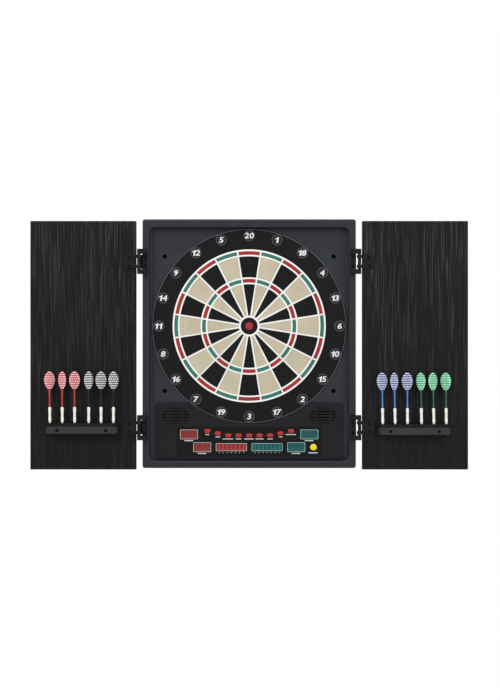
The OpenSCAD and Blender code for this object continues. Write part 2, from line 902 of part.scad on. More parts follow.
front_housing();
wall_screw_tubes();
rear_cover();
housing_screws();
catch_ring();
spider_web();
double_segments_red();
double_segments_green();
treble_segments_red();
treble_segments_green();
outer_single_segments_black();
outer_single_segments_cream();
inner_single_segments_black();
inner_single_segments_cream();
outer_bull();
bullseye();
rubber_mat();
membrane_sheet();
pressure_board();
board_screws();
ribbon_cable();
control_board();
red_displays();
green_displays();
panel_overlay();
keypad();
red_button(1);  // button_red_1
red_button(2);  // button_red_2
red_button(3);  // button_red_3
red_button(4);  // button_red_4
red_button(5);  // button_red_5
red_button(6);  // button_red_6
red_button(7);  // button_red_7
red_button(8);  // button_red_8
red_button(9);  // button_red_9
button_yellow();
speakers();
dc_jack();
hinge_brackets();
hinge_pins();
left_door_panel();
left_hinge_clips();
left_dart_rack();
left_door_screws();
right_door_panel();
right_hinge_clips();
right_dart_rack();
right_door_screws();
dart_red(1, 20);  // dart_red_1
dart_red(2, 55);  // dart_red_2
dart_red(3, 5);  // dart_red_3
dart_black(1, 40);  // dart_black_1
dart_black(2, 12);  // dart_black_2
dart_black(3, 30);  // dart_black_3
dart_blue(1, 10);  // dart_blue_1
dart_blue(2, 35);  // dart_blue_2
dart_blue(3, 80);  // dart_blue_3
dart_green(1, 50);  // dart_green_1
dart_green(2, 25);  // dart_green_2
dart_green(3, 65);  // dart_green_3
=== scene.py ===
"""The looks of the electronic dartboard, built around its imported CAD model.

Lengths in the drawing code are in millimetres. A point is (x, z) as the player sees it, and
a depth is a distance from the wall towards the player: a depth of 50 is y = -0.05 m.
"""

import json
import math

import bmesh
import bpy
from mathutils import Matrix, Vector
from mathutils.geometry import delaunay_2d_cdt


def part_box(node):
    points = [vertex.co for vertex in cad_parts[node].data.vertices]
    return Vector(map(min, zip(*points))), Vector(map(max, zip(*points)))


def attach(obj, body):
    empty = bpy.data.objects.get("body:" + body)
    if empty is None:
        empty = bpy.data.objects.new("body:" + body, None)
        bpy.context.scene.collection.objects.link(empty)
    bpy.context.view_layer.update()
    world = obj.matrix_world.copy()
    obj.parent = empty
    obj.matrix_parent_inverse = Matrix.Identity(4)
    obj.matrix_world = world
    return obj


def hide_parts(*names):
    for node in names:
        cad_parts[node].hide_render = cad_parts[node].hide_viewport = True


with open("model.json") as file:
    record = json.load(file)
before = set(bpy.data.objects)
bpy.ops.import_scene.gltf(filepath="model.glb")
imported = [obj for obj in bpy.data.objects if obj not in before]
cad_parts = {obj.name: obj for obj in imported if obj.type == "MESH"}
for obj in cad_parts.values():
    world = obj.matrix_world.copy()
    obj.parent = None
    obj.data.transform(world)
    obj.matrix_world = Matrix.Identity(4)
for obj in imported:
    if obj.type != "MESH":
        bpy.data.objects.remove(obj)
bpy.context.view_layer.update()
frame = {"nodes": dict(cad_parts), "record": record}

MM = 0.001
BODY_OF = {node: body for body, nodes in frame["record"]["behaviour"]["bodies"].items() for node in nodes}


def extent(node):
    """A CAD node's box in mm: lowest and highest x, z and depth."""
    low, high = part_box(node)
    return low.x / MM, high.x / MM, low.z / MM, high.z / MM, -high.y / MM, -low.y / MM


# ---------------------------------------------------------------- outlines

def circle(x, z, r, count=48, start=0.0):
    return [(x + r * math.cos(start + math.tau * k / count), z + r * math.sin(start + math.tau * k / count))
            for k in range(count)]


def ellipse(x, z, a, b, count=64):
    return [(x + a * math.cos(math.tau * k / count), z + b * math.sin(math.tau * k / count))
            for k in range(count)]


def rounded(x, z, w, h, r, count=6):
    """A rectangle with round corners, anticlockwise from its lower right corner."""
    points = []
    for sx, sz, turn in ((1, -1, -90), (1, 1, 0), (-1, 1, 90), (-1, -1, 180)):
        for k in range(count + 1):
            a = math.radians(turn + 90 * k / count)
            points.append((x + sx * (w / 2 - r) + r * math.cos(a), z + sz * (h / 2 - r) + r * math.sin(a)))
    return points


def oval(x, z, w, h, count=10):
    return rounded(x, z, w, h, min(w, h) / 2 - 0.01, count)


def arc(r, start, end, count):
    """Points on a circle round the bullseye; angles in degrees, anticlockwise from +X."""
    return [(r * math.cos(math.radians(start + (end - start) * k / count)),
             r * math.sin(math.radians(start + (end - start) * k / count))) for k in range(count + 1)]


def shrink(outline, distance):
    """An outline drawn in by a distance, with mitred corners; a negative one grows it."""
    if not distance:
        return list(outline)
    count = len(outline)
    area = sum(a[0] * b[1] - b[0] * a[1] for a, b in zip(outline, outline[1:] + outline[:1]))
    side = 1 if area > 0 else -1
    moved = []
    for k in range(count):
        x, z = outline[k]
        before = Vector((x - outline[k - 1][0], z - outline[k - 1][1])).normalized()
        after = Vector((outline[(k + 1) % count][0] - x, outline[(k + 1) % count][1] - z)).normalized()
        n0, n1 = Vector((-before.y, before.x)) * side, Vector((-after.y, after.x)) * side
        move = (n0 + n1) / max(1 + n0.dot(n1), 0.3) * distance
        moved.append((x + move.x, z + move.y))
    return moved


def eased(inset, depth, r, steps=3):
    """Profile of a rounded edge, from the side up to the front face."""
    return [(inset + r * (1 - math.cos(math.radians(90 * k / steps))),
             depth - r * (1 - math.sin(math.radians(90 * k / steps)))) for k in range(steps + 1)]


def face(x, z, depth):
    """Places an outline drawn on the board's face."""
    return x * MM, -depth * MM, z * MM


# ---------------------------------------------------------------- meshes

class Solid:
    """Collects closed shells in mm, and makes one mesh object of them."""

    def __init__(self, place=face):
        self.points, self.faces, self.place, self.kind = [], [], place, 0

    def loop(self, outline, depth):
        start = len(self.points)
        self.points += [(x, z, depth) for x, z in outline]
        return list(range(start, len(self.points)))

    def add(self, *corners):
        self.faces.append((corners, self.kind))

    def bridge(self, a, b, closed=True):
        for k in range(len(a) if closed else len(a) - 1):
            n = (k + 1) % len(a)
            self.add(a[k], a[n], b[n], b[k])

    def tower(self, outline, profile):
        """Walls that follow a profile of (inset, depth) pairs. outline may be a function of the inset."""
        draw = outline if callable(outline) else lambda inset: shrink(outline, inset)
        loops = [self.loop(draw(inset), depth) for inset, depth in profile]
        for a, b in zip(loops, loops[1:]):
            self.bridge(a, b)
        return loops

    def fill(self, outer, *holes):
        """A flat face inside one loop and outside the others."""
        ids, edges, start = [], [], 0
        for loop in (outer, *holes):
            ids += loop
            edges.append(list(range(start, start + len(loop))))
            start += len(loop)
        flat = [Vector(self.points[i][:2]) for i in ids]
        _, _, faces, origin, _, owners = delaunay_2d_cdt(flat, [], edges, 1, 1e-6)
        for corners, owner in zip(faces, owners):
            if not any(owner_id > 0 for owner_id in owner):
                self.add(*(ids[origin[c][0]] for c in corners))

    def block(self, outline, profile):
        """A closed solid between the first and the last step of a profile."""
        loops = self.tower(outline, profile)
        self.fill(loops[0])
        self.fill(loops[-1])
        return loops

    def lathe(self, profile, x=0.0, z=0.0, count=32):
        """Turns (radius, depth) pairs round an axis along the depth. A radius of 0 closes an end."""
        rings = []
        for r, depth in profile:
            if r == 0:
                self.points.append((x, z, depth))
                rings.append([len(self.points) - 1])
            else:
                rings.append(self.loop(circle(x, z, r, count), depth))
        for a, b in zip(rings, rings[1:]):
            if len(a) > 1 and len(b) > 1:
                self.bridge(a, b)
            elif len(a) > 1 or len(b) > 1:
                tip, ring = (a, b) if len(a) == 1 else (b, a)
                for k in range(len(ring)):
                    self.add(tip[0], ring[k], ring[(k + 1) % len(ring)])
        return rings

    def repeat(self, points, faces, turn):
        """Adds a copy of some points and faces, turned clockwise round the bullseye's axis."""
        start, c, s = len(self.points), math.cos(math.radians(turn)), math.sin(math.radians(turn))
        self.points += [(x * c + z * s, z * c - x * s, depth) for x, z, depth in points]
        self.faces += [(tuple(i + start for i in corners), kind) for corners, kind in faces]

    def make(self, name, finishes, weld=0.0005):
        """One mesh object, shaded smooth except where its faces meet at more than 35 degrees."""
        mesh = bpy.data.meshes.new(name)
        mesh.from_pydata([self.place(*p) for p in self.points], [], [f[0] for f in self.faces])
        mesh.polygons.foreach_set("material_index", [f[1] for f in self.faces])
        work = bmesh.new()
        work.from_mesh(mesh)
        bmesh.ops.remove_doubles(work, verts=work.verts, dist=weld * MM)
        bmesh.ops.recalc_face_normals(work, faces=work.faces)
        work.to_mesh(mesh)
        work.free()
        mesh.shade_smooth()
        mesh.set_sharp_from_angle(angle=math.radians(35))
        for finish in finishes:
            mesh.materials.append(finish)
        thing = bpy.data.objects.new(name, mesh)
        bpy.context.scene.collection.objects.link(thing)
        return thing


def weigh_normals(thing):
    """Flat faces keep flat shading, and only the rounded edges bend the light."""
    modifier = thing.modifiers.new("Weighted normals", "WEIGHTED_NORMAL")
    modifier.keep_sharp = True


def own(thing, node, stands_for=True):
    """Lets a piece ride on its CAD node's body, and stand for the node."""
    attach(thing, BODY_OF[node])
    if stands_for:
        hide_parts(node)
    return thing


def piece(solid, name, looks, node, weighted=True, stands_for=True, weld=0.0005):
    """Makes one piece with its looks, keys of FINISH, and lets it ride on its CAD node's body."""
    thing = solid.make(name, [FINISH[look] for look in looks], weld)
    if weighted:
        weigh_normals(thing)
    own(thing, node, stands_for)


# ---------------------------------------------------------------- finishes

def linear(colour):
    """An sRGB colour of 0 to 255, as the shader's linear one."""
    return tuple(c / 255 / 12.92 if c <= 10 else ((c / 255 + 0.055) / 1.055) ** 2.4
                 for c in colour) + (1.0,)


class Finish:
    """A procedural material, and short calls for the nodes in it."""

    def __init__(self, name, rough, **even):
        self.material = bpy.data.materials.new(name)
        self.material.use_nodes = True
        self.nodes, self.links = self.material.node_tree.nodes, self.material.node_tree.links
        self.shader = self.nodes["Principled BSDF"]
        self.shader.inputs["Roughness"].default_value = rough
        for socket, value in even.items():
            self.shader.inputs[socket.replace("_", " ")].default_value = value
        self.place = self.node("TexCoord").outputs["Object"]

    def node(self, kind, sockets=None, **settings):
        made = self.nodes.new("ShaderNode" + kind)
        for key, value in settings.items():
            setattr(made, key, value)
        for socket, value in (sockets or {}).items():
            if isinstance(value, bpy.types.NodeSocket):
                self.links.new(value, made.inputs[socket])
            else:
                made.inputs[socket].default_value = value
        return made

    def stretched(self, x=1.0, y=1.0, z=1.0):
        return self.node("Mapping", {"Vector": self.place, "Scale": (x, y, z)}).outputs["Vector"]

    def noise(self, size, detail=3.0, place=None, rough=0.5):
        """Noise whose features are about this size, in mm."""
        return self.node("TexNoise", {
            "Vector": place or self.place, "Scale": 1 / (size * MM), "Detail": detail,
            "Roughness": rough}).outputs["Fac"]

    def spread(self, value, low, high, to_low, to_high):
        return self.node("MapRange", {"Value": value, "From Min": low, "From Max": high,
                                      "To Min": to_low, "To Max": to_high}).outputs["Result"]

    def math(self, operation, a, b):
        return self.node("Math", {0: a, 1: b}, operation=operation).outputs[0]

    def mix(self, factor, a, b):
        made = self.node("Mix", data_type="RGBA")
        for socket, value in ((0, factor), (6, a), (7, b)):
            if isinstance(value, bpy.types.NodeSocket):
                self.links.new(value, made.inputs[socket])
            else:
                made.inputs[socket].default_value = value
        return made.outputs[2]

    def colour(self, socket):
        self.links.new(socket, self.shader.inputs["Base Color"])

    def rough(self, value, low, high):
        self.links.new(self.spread(value, 0.3, 0.7, low, high), self.shader.inputs["Roughness"])

    def bump(self, height, depth, strength=1.0):
        """Bump of a height from 0 to 1 that stands for this depth, in mm."""
        made = self.node("Bump", {"Height": height, "Distance": depth * MM, "Strength": strength})
        self.links.new(made.outputs["Normal"], self.shader.inputs["Normal"])

    def worn(self, colour, edge, amount):
        """Mixes in a paler colour along the rounded edges, broken up by noise."""
        ridge = self.spread(self.node("NewGeometry").outputs["Pointiness"], 0.52, 0.62, 0.0, amount)
        return self.mix(self.math("MULTIPLY", ridge, self.noise(3, 4)), colour, linear(edge))


def moulded(name, colour, rough=0.45, grain=0.7, depth=0.02, mottle=0.10, edge=None, wear=0.5, **even):
    """Moulded plastic: a fine spark-eroded grain, faint mottling and rubbed edges."""
    finish = Finish(name, rough, **even)
    cloud = finish.noise(45, 5)
    dark, light = ([max(c * (1 + s * mottle), 0) for c in colour] for s in (-1, 1))
    base = finish.mix(finish.spread(cloud, 0.3, 0.7, 0.0, 1.0), linear(dark), linear(light))
    finish.colour(finish.worn(base, edge or [min(c * 1.3 + 22, 255) for c in colour], wear))
    finish.rough(finish.noise(12, 5), rough - 0.06, rough + 0.08)
    finish.bump(finish.noise(grain, 2), depth)
    return finish.material


def metal(name, colour, rough=0.3, grain=0.25):
    """Plated or turned metal, with fine tool marks and a dulled film."""
    finish = Finish(name, rough, Metallic=1.0)
    film = finish.noise(6, 5)
    finish.colour(finish.mix(film, linear([c * 0.72 for c in colour]), linear(colour)))
    finish.rough(film, rough - 0.08, rough + 0.14)
    finish.bump(finish.noise(grain, 3), 0.01)
    return finish.material


def wood(name, dark, middle, light):
    """Black stained laminate: fine vertical grain that wanders a little, pores, and painted light from above,
    which leaves the foot duller.
    """
    finish = Finish(name, 0.55, Specular_IOR_Level=0.22)
    wander = finish.noise(90, 2, finish.stretched(1, 1, 0.5))
    bend = finish.node("CombineXYZ", {"X": finish.math("MULTIPLY", wander, 0.012)}).outputs["Vector"]
    bent = finish.node("VectorMath", {0: finish.place, 1: bend}, operation="ADD").outputs["Vector"]
    along = finish.node("Mapping", {"Vector": bent, "Scale": (1, 1, 0.018)}).outputs["Vector"]
    shorter = finish.node("Mapping", {"Vector": bent, "Scale": (1, 1, 0.045)}).outputs["Vector"]
    broad = finish.noise(26, 3, along)
    fine = finish.noise(1.7, 2, along, 0.5)
    pores = finish.noise(2.0, 3, shorter, 0.6)
    streak = finish.math("ADD", finish.math("MULTIPLY", broad, 0.12), finish.math("MULTIPLY", fine, 0.88))
    ramp = finish.node("ValToRGB", {"Fac": streak})
    stops = ramp.color_ramp.elements
    stops[0].position, stops[0].color = 0.43, linear(dark)
    stops[1].position, stops[1].color = 0.68, linear(light)
    stops.new(0.53).color = linear(middle)
    # painted light: the grain shows in full at the top of the door and fades to an even dark grey towards its
    # foot, standing in for the top light's sheen on the grain
    height = finish.node("SeparateXYZ", {"Vector": finish.place}).outputs["Z"]
    painted_top_light = finish.spread(height, -0.30, 0.22, 0.25, 1.0)
    grain_under_painted_top_light = finish.mix(painted_top_light, linear([c * 0.82 for c in middle]), ramp.outputs["Color"])
    pit = finish.spread(pores, 0.34, 0.46, 1.0, 0.0)
    finish.colour(finish.mix(finish.math("MULTIPLY", pit, 0.7), grain_under_painted_top_light, linear([c * 0.4 for c in dark])))
    finish.rough(fine, 0.5, 0.66)
    relief = finish.math("SUBTRACT", finish.math("MULTIPLY", fine, 0.6), finish.math("MULTIPLY", pit, 0.5))
    finish.bump(relief, 0.22, 0.6)
    return finish.material


BLOCK = 5.0                 # a flight's print repeats over this height and width


def checked(name, light, dark):
    """Printed film of a flight: rows of pale blocks on a darker ground. Its fins lie along X and Y."""
    finish = Finish(name, 0.32, Specular_IOR_Level=0.5)
    at = finish.node("SeparateXYZ", {"Vector": finish.stretched(1 / MM, 1 / MM, 1 / MM)})
    across = finish.math("ADD", *(finish.math("ABSOLUTE", at.outputs[axis], 0.0) for axis in "XY"))
    along = at.outputs["Z"]
    rows = finish.math("PINGPONG", along, BLOCK / 2)
    step = finish.math("MULTIPLY", finish.math("FLOOR", finish.math("DIVIDE", along, BLOCK), 0), BLOCK / 2)
    columns = finish.math("PINGPONG", finish.math("ADD", across, step), BLOCK / 2)
    row_on = finish.spread(rows, 0.8, 1.1, 0.0, 1.0)
    column_on = finish.spread(columns, 0.5, 0.8, 0.25, 1.0)
    print_on = finish.math("MULTIPLY", row_on, column_on)
    foil = finish.spread(finish.noise(1.6, 3), 0.3, 0.7, 0.82, 1.0)
    finish.colour(finish.mix(finish.math("MULTIPLY", print_on, foil), linear(dark), linear(light)))
    finish.rough(finish.noise(5, 3), 0.26, 0.42)
    finish.bump(print_on, 0.05, 0.5)
    return finish.material


def board(name, colour):
    """Circuit board: solder mask over a faint grid of tracks."""
    finish = Finish(name, 0.35)
    flat = finish.node("Mapping", {"Vector": finish.place, "Rotation": (math.pi / 2, 0, 0)})
    tracks = finish.node("TexBrick", {
        "Vector": flat.outputs["Vector"], "Scale": 90.0, "Mortar Size": 0.03, "Color1": linear(colour),
        "Color2": linear([c * 0.85 for c in colour]), "Mortar": linear([c * 1.35 for c in colour])})
    finish.colour(tracks.outputs["Color"])
    finish.rough(finish.noise(8, 3), 0.28, 0.45)
    finish.bump(tracks.outputs["Fac"], 0.03)
    return finish.material


def window(name, colour, painted_glow):
    """Tinted filter window over its display, with a faint emission as painted light."""
    finish = Finish(name, 0.25, Coat_Weight=0.15, Coat_Roughness=0.12, Emission_Strength=painted_glow)
    cloud = finish.noise(14, 3)
    dark, light = (linear([min(c * share, 255) for c in colour]) for share in (0.8, 1.15))
    finish.colour(finish.mix(cloud, dark, light))
    finish.shader.inputs["Emission Color"].default_value = linear(colour)
    finish.bump(finish.noise(0.5, 2), 0.006)
    return finish.material


FINISH = {
    "housing": moulded("housing_plastic_look", (29, 32, 41), 0.5, wear=0.3, Specular_IOR_Level=0.4),
    "console": moulded("console_plastic_look", (14, 16, 21), 0.48, wear=0.4, Specular_IOR_Level=0.28),
    "cover": moulded("cover_plastic_look", (40, 41, 45), 0.55, grain=1.1, depth=0.05),
    "ring": moulded("ring_plastic_look", (8, 8, 9), 0.52, grain=0.5, wear=0.9, Specular_IOR_Level=0.22),
    "disc": moulded("number_disc_look", (34, 34, 37), 0.45, grain=0.5, wear=0.6, Specular_IOR_Level=0.35),
    # painted highlight: a pale band round each number disc's edge
    "disc_edge_painted_highlight": moulded("number_disc_edge_painted_highlight_look", (84, 84, 88), 0.45, grain=0.5, wear=0.6),
    # painted highlight: the pale lip round the ring's outer edge
    "ring_lip_painted_highlight": moulded("ring_lip_painted_highlight_look", (92, 93, 98), 0.42, grain=0.5, wear=0.6),
    # painted shade: black caps standing in for the dark inside the open wall-screw holes
    "painted_shade_plug": moulded("hole_painted_shade_plug_look", (10, 10, 10), 0.6, grain=0.5, Specular_IOR_Level=0.3),
    "numeral": moulded("numeral_print_look", (236, 236, 234), 0.4, mottle=0.02, wear=0.0),
    "spider": moulded("spider_plastic_look", (246, 245, 242), 0.38, mottle=0.025, depth=0.012, wear=0.0),
    "red": moulded("red_plastic_look", (196, 52, 50), 0.4, mottle=0.06, edge=(214, 96, 90)),
    "green": moulded("green_plastic_look", (62, 142, 127), 0.4, mottle=0.06, edge=(110, 176, 162)),
    "black": moulded("black_plastic_look", (14, 15, 15), 0.42, wear=0.6, Specular_IOR_Level=0.3),
    "cream": moulded("cream_plastic_look", (226, 215, 186), 0.42, mottle=0.035, edge=(236, 230, 214)),
    "red_button": moulded("red_button_look", (172, 32, 30), 0.36, mottle=0.05, edge=(226, 96, 88)),
    "yellow_button": moulded("yellow_button_look", (244, 218, 44), 0.36, mottle=0.04, edge=(250, 232, 120)),
    "panel": moulded("panel_print_look", (6, 7, 9), 0.42, grain=0.35, depth=0.008, wear=0.3,
                     Specular_IOR_Level=0.22),
    "mark": moulded("mark_print_look", (222, 223, 224), 0.5, mottle=0.05, wear=0.0),
    "bezel": moulded("window_border_look", (196, 178, 174), 0.45, mottle=0.05, wear=0.0),
    "teal_bezel": moulded("green_window_border_look", (150, 188, 184), 0.45, mottle=0.05, wear=0.0),
    # painted light: the display windows and their digits are given a faint glow
    "red_window": window("red_window_look", (104, 22, 22), 0.10),
    "red_digit": window("red_digit_look", (158, 50, 46), 0.16),
    "green_window": window("green_window_look", (0, 62, 64), 0.07),
    "green_digit": window("green_digit_look", (0, 100, 100), 0.12),
    "hinge": moulded("hinge_plastic_look", (11, 11, 12), 0.4, grain=0.5, wear=0.6, Specular_IOR_Level=0.3),
    "rack": moulded("rack_plastic_look", (33, 34, 37), 0.45, grain=0.8, depth=0.035, wear=0.7),
    # painted shade: the darker look on the rack's step, top, holes and foot
    "rack_step_painted_shade": moulded("rack_step_painted_shade_look", (9, 9, 10), 0.55, grain=0.8, depth=0.035, wear=0.4,
                         Specular_IOR_Level=0.25),
    "speaker": moulded("speaker_cone_look", (14, 14, 15), 0.8, grain=1.4, depth=0.15),
    "jack": moulded("jack_plastic_look", (16, 16, 17), 0.4),
    "rubber": moulded("mat_rubber_look", (44, 44, 44), 0.75, grain=1.2, depth=0.08),
    "film": moulded("membrane_film_look", (190, 168, 112), 0.35, mottle=0.12),
    "fibre": moulded("fibre_board_look", (128, 96, 62), 0.8, grain=1.6, depth=0.12, mottle=0.16),
    "keypad": moulded("keypad_rubber_look", (176, 176, 170), 0.7, grain=0.9),
    "steel": metal("screw_steel_look", (168, 172, 180), 0.3),
    "dark_steel": metal("door_screw_look", (34, 34, 37), 0.4),
    "pin": metal("pin_steel_look", (52, 53, 56), 0.34),
    "board": board("circuit_board_look", (34, 96, 58)),
    "wood": wood("door_wood_look", (3, 3, 4), (13, 13, 15), (62, 62, 67)),
    "barrel": moulded("barrel_look", (248, 244, 235), 0.4, grain=0.4, mottle=0.05, wear=0.2),
    "tip": moulded("dart_tip_look", (28, 28, 30), 0.35, grain=0.4),
}


# ---------------------------------------------------------------- housing

HOUSING = extent("front_housing")
LEFT, RIGHT, LOW, TOP, _, RIM = HOUSING
MID_Z = (LOW + TOP) / 2
HOUSING_W, HOUSING_H = RIGHT - LEFT, TOP - LOW
COVER_EDGE = 8.0            # depth where the front housing meets the rear cover
WALL = 2.5
HOUSING_CORNER = 5.5
RIM_SIDE, RIM_TOP, RIM_LOW = 16.2, 18.6, 16.5
RECESS_W, RECESS_H = HOUSING_W - 2 * RIM_SIDE, HOUSING_H - RIM_TOP - RIM_LOW
RECESS_LOW = LOW + RIM_LOW
RECESS_CORNER = 12.0
FLOOR = 36.0                # depth of the recess floor
COVE, COVE_TOP, COVE_LOW = 4.0, 1.8, 0.4    # cove between the recess's floor and its sides, top and foot
TARGET_HOLE = 217.0
CONSOLE_W, CONSOLE_TOP, CONSOLE_LOW = 421.0, -170.5, RECESS_LOW + 0.9
CONSOLE = 38.2              # depth of the console's front
CONSOLE_CORNER = 9.0
CONSOLE_MEETS = math.degrees(math.asin(-CONSOLE_TOP / TARGET_HOLE))
WALL_SCREWS = [(sx * 189.0, 5 + sz * 150.5) for sx in (-1, 1) for sz in (-1, 1)]
TUBE_IN = 4.7
RIM_EDGE, RECESS_EDGE = 4.5, 3.0    # radii of the rim's outer and inner edges


def housing_outline(inset):
    return rounded(0, MID_Z, HOUSING_W - 2 * inset, HOUSING_H - 2 * inset, max(HOUSING_CORNER - inset, 1))


def recess_outline(inset, top=None, low=None):
    """The recess, drawn in at its sides, and by other distances at its top and foot if they are given."""
    top, low = inset if top is None else top, inset if low is None else low
    height = RECESS_H - top - low
    corner = max(RECESS_CORNER - inset, 1)
    return rounded(0, RECESS_LOW + low + height / 2, RECESS_W - 2 * inset, height, corner)


def console_box(play):
    width, height = CONSOLE_W + play, CONSOLE_TOP - CONSOLE_LOW + play
    return rounded(0, (CONSOLE_TOP + CONSOLE_LOW) / 2, width, height, CONSOLE_CORNER)


def console_outline():
    """The console's plate, whose top edge the target bites into."""
    box = console_box(0)
    per_corner = len(box) // 4
    bite = arc(TARGET_HOLE + 0.1, -CONSOLE_MEETS, CONSOLE_MEETS - 180, 40)
    return box[:2 * per_corner] + bite + box[2 * per_corner:]


def floor_hole():
    """The recess floor's opening: the target's circle joined with the console."""
    box = console_box(0.1)
    per_corner = len(box) // 4
    over = arc(TARGET_HOLE, -CONSOLE_MEETS, CONSOLE_MEETS + 180, 150)
    return box[:2 * per_corner] + over + box[2 * per_corner:]


def build_housing():
    solid = Solid()
    # outside wall, rounded front edge, rim, and the recess's side down to its floor
    wall = [(0.4, COVER_EDGE), (0, COVER_EDGE + 0.4)] + eased(0, RIM, RIM_EDGE, 6)
    outside = solid.tower(housing_outline, wall)
    side = [solid.loop(recess_outline(-RECESS_EDGE * (1 - math.sin(math.radians(t)))),
                       RIM - RECESS_EDGE * (1 - math.cos(math.radians(t)))) for t in (0, 22.5, 45, 67.5, 90)]
    solid.bridge(outside[-1], side[0])
    for t in (0, 15, 30, 45, 60, 75, 90):
        inset = COVE * (1 - math.cos(math.radians(t)))
        side.append(solid.loop(recess_outline(inset, min(inset, COVE_TOP), min(inset, COVE_LOW)),
                               FLOOR + COVE * (1 - math.sin(math.radians(t)))))
    for a, b in zip(side, side[1:]):
        solid.bridge(a, b)
    hole = solid.tower(floor_hole(), [(0, FLOOR), (0, FLOOR - WALL)])
    bores = [solid.tower(circle(x, z, TUBE_IN, 24), [(-0.5, FLOOR), (0, FLOOR - 0.5), (0, FLOOR - WALL)])
             for x, z in WALL_SCREWS]
    solid.fill(side[-1], hole[0], *(bore[0] for bore in bores))
    # inside of the shell
    inside = solid.tower(housing_outline, [(WALL, COVER_EDGE), (WALL, RIM - WALL)])
    solid.bridge(outside[0], inside[0])
    under = [solid.loop(recess_outline(-WALL), RIM - WALL), solid.loop(recess_outline(-WALL), FLOOR - WALL)]
    solid.bridge(inside[-1], under[0])
    solid.bridge(*under)
    solid.fill(under[1], hole[1], *(bore[-1] for bore in bores))
    # raised bead round the target, down to the console on both sides
    bead = [(3.4, -0.6), (3.2, 0.2), (2.5, 1.0), (0.9, 1.2), (0.3, 0.9), (0.2, -0.6)]
    rows = [solid.loop(arc(TARGET_HOLE + r, -CONSOLE_MEETS + 0.6, CONSOLE_MEETS + 179.4, 150), FLOOR + depth)
            for r, depth in bead]
    for a, b in zip(rows, rows[1:] + rows[:1]):
        solid.bridge(a, b, closed=False)
    solid.add(*(row[0] for row in rows))
    solid.add(*(row[-1] for row in rows))
    build_console(solid)
    thing = solid.make("housing", [FINISH["housing"], FINISH["console"]])
    cut_jack_hole(thing)
    weigh_normals(thing)
    own(thing, "front_housing")


BUTTON_PITCH = 23.4
BUTTON_ARC = [-235.1, -240.3, -245, -245, -245, -245, -245, -240.3, -235.1]
BUTTONS = [((k - 4) * BUTTON_PITCH, z) for k, z in enumerate(BUTTON_ARC)]
BUTTON_W, BUTTON_H = 14.6, 9.4
ROUND_BUTTON, ROUND_R = (143.7, -271.1), 7.5
DIGITS, BAR = (38.7, 20.3), (68.2, 16.2)
DISPLAYS = [(134.6, -242.5, *DIGITS), (105.2, -271.1, *DIGITS), (39.9, -271.0, *BAR)]
SPEAKER, GRILLE = (165.0, -201.4), (31.8, 21.8)
SLOT_PITCH, SLOT_H = 6.6, 2.6
GRILLE_RIM = [(-1.0, 0), (-0.4, 0.45), (0.4, 0.45), (1.2, -0.7)]
JACK_DEPTH, JACK_HOLE_R = 16.0, 4.6


def openings(gap):
    """Outlines of the display windows and the button holes."""
    found = [rounded(side * x, z, w + 2 * gap, h + 2 * gap, 1.2, 3)
             for side in (-1, 1) for x, z, w, h in DISPLAYS]
    found += [oval(x, z, BUTTON_W + 2 * gap, BUTTON_H + 2 * gap) for x, z in BUTTONS]
    return found + [circle(*ROUND_BUTTON, ROUND_R + gap, 40)]


def build_console(solid):
    """The plate over the electronics, with windows, button holes and speaker grilles."""
    solid.kind = 1
    back = CONSOLE - WALL
    outside = solid.tower(console_outline(), [(0, FLOOR - WALL)] + eased(0, CONSOLE, 1.2, 4))
    inside = solid.tower(console_outline(), [(WALL, FLOOR - WALL), (WALL, back)])
    solid.bridge(outside[0], inside[0])
    holes = [solid.tower(o, [(-0.3, CONSOLE), (0, CONSOLE - 0.3), (0, back)]) for o in openings(0.45)]
    fronts, backs = [h[0] for h in holes], [h[-1] for h in holes]
    for side in (-1, 1):
        x, z = side * SPEAKER[0], SPEAKER[1]
        rim = solid.tower(ellipse(x, z, *GRILLE), [(inset, CONSOLE + high) for inset, high in GRILLE_RIM])
        slots = []
        for k in (-2.5, -1.5, -0.5, 0.5, 1.5, 2.5):
            reach = (abs(k) * SLOT_PITCH + SLOT_H / 2 + 0.4) / (GRILLE[1] - 1.2)
            half = (GRILLE[0] - 1.2) * math.sqrt(1 - reach ** 2) - 0.9
            slots.append(solid.tower(rounded(x, z + k * SLOT_PITCH, 2 * half, SLOT_H, 1.2, 3),
                                     [(-0.4, CONSOLE - 0.7), (0, CONSOLE - 1.2), (0, back)]))
        solid.fill(rim[-1], *(s[0] for s in slots))
        fronts.append(rim[0])
        backs += [s[-1] for s in slots]
    solid.fill(outside[-1], *fronts)
    solid.fill(inside[-1], *backs)


def cut_jack_hole(thing):
    """Cuts the hole for the power inlet through the bottom wall."""
    low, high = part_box("dc_jack")
    drill = Solid(lambda x, y, z: (x * MM, y * MM, z * MM))
    foot, head = LOW - 3, LOW + 4
    drill.lathe([(0, foot), (JACK_HOLE_R, foot), (JACK_HOLE_R, head), (0, head)],
                (low.x + high.x) / 2 / MM, -JACK_DEPTH, 32)
    cutter = drill.make("jack_drill", [FINISH["housing"]])
    modifier = thing.modifiers.new("Jack hole", "BOOLEAN")
    modifier.object, modifier.operation, modifier.solver = cutter, "DIFFERENCE", "EXACT"
    bpy.context.view_layer.update()
    result = bpy.data.meshes.new_from_object(thing.evaluated_get(bpy.context.evaluated_depsgraph_get()))
    thing.modifiers.clear()
    thing.data = result
    bpy.data.objects.remove(cutter)


build_housing()


# ---------------------------------------------------------------- target

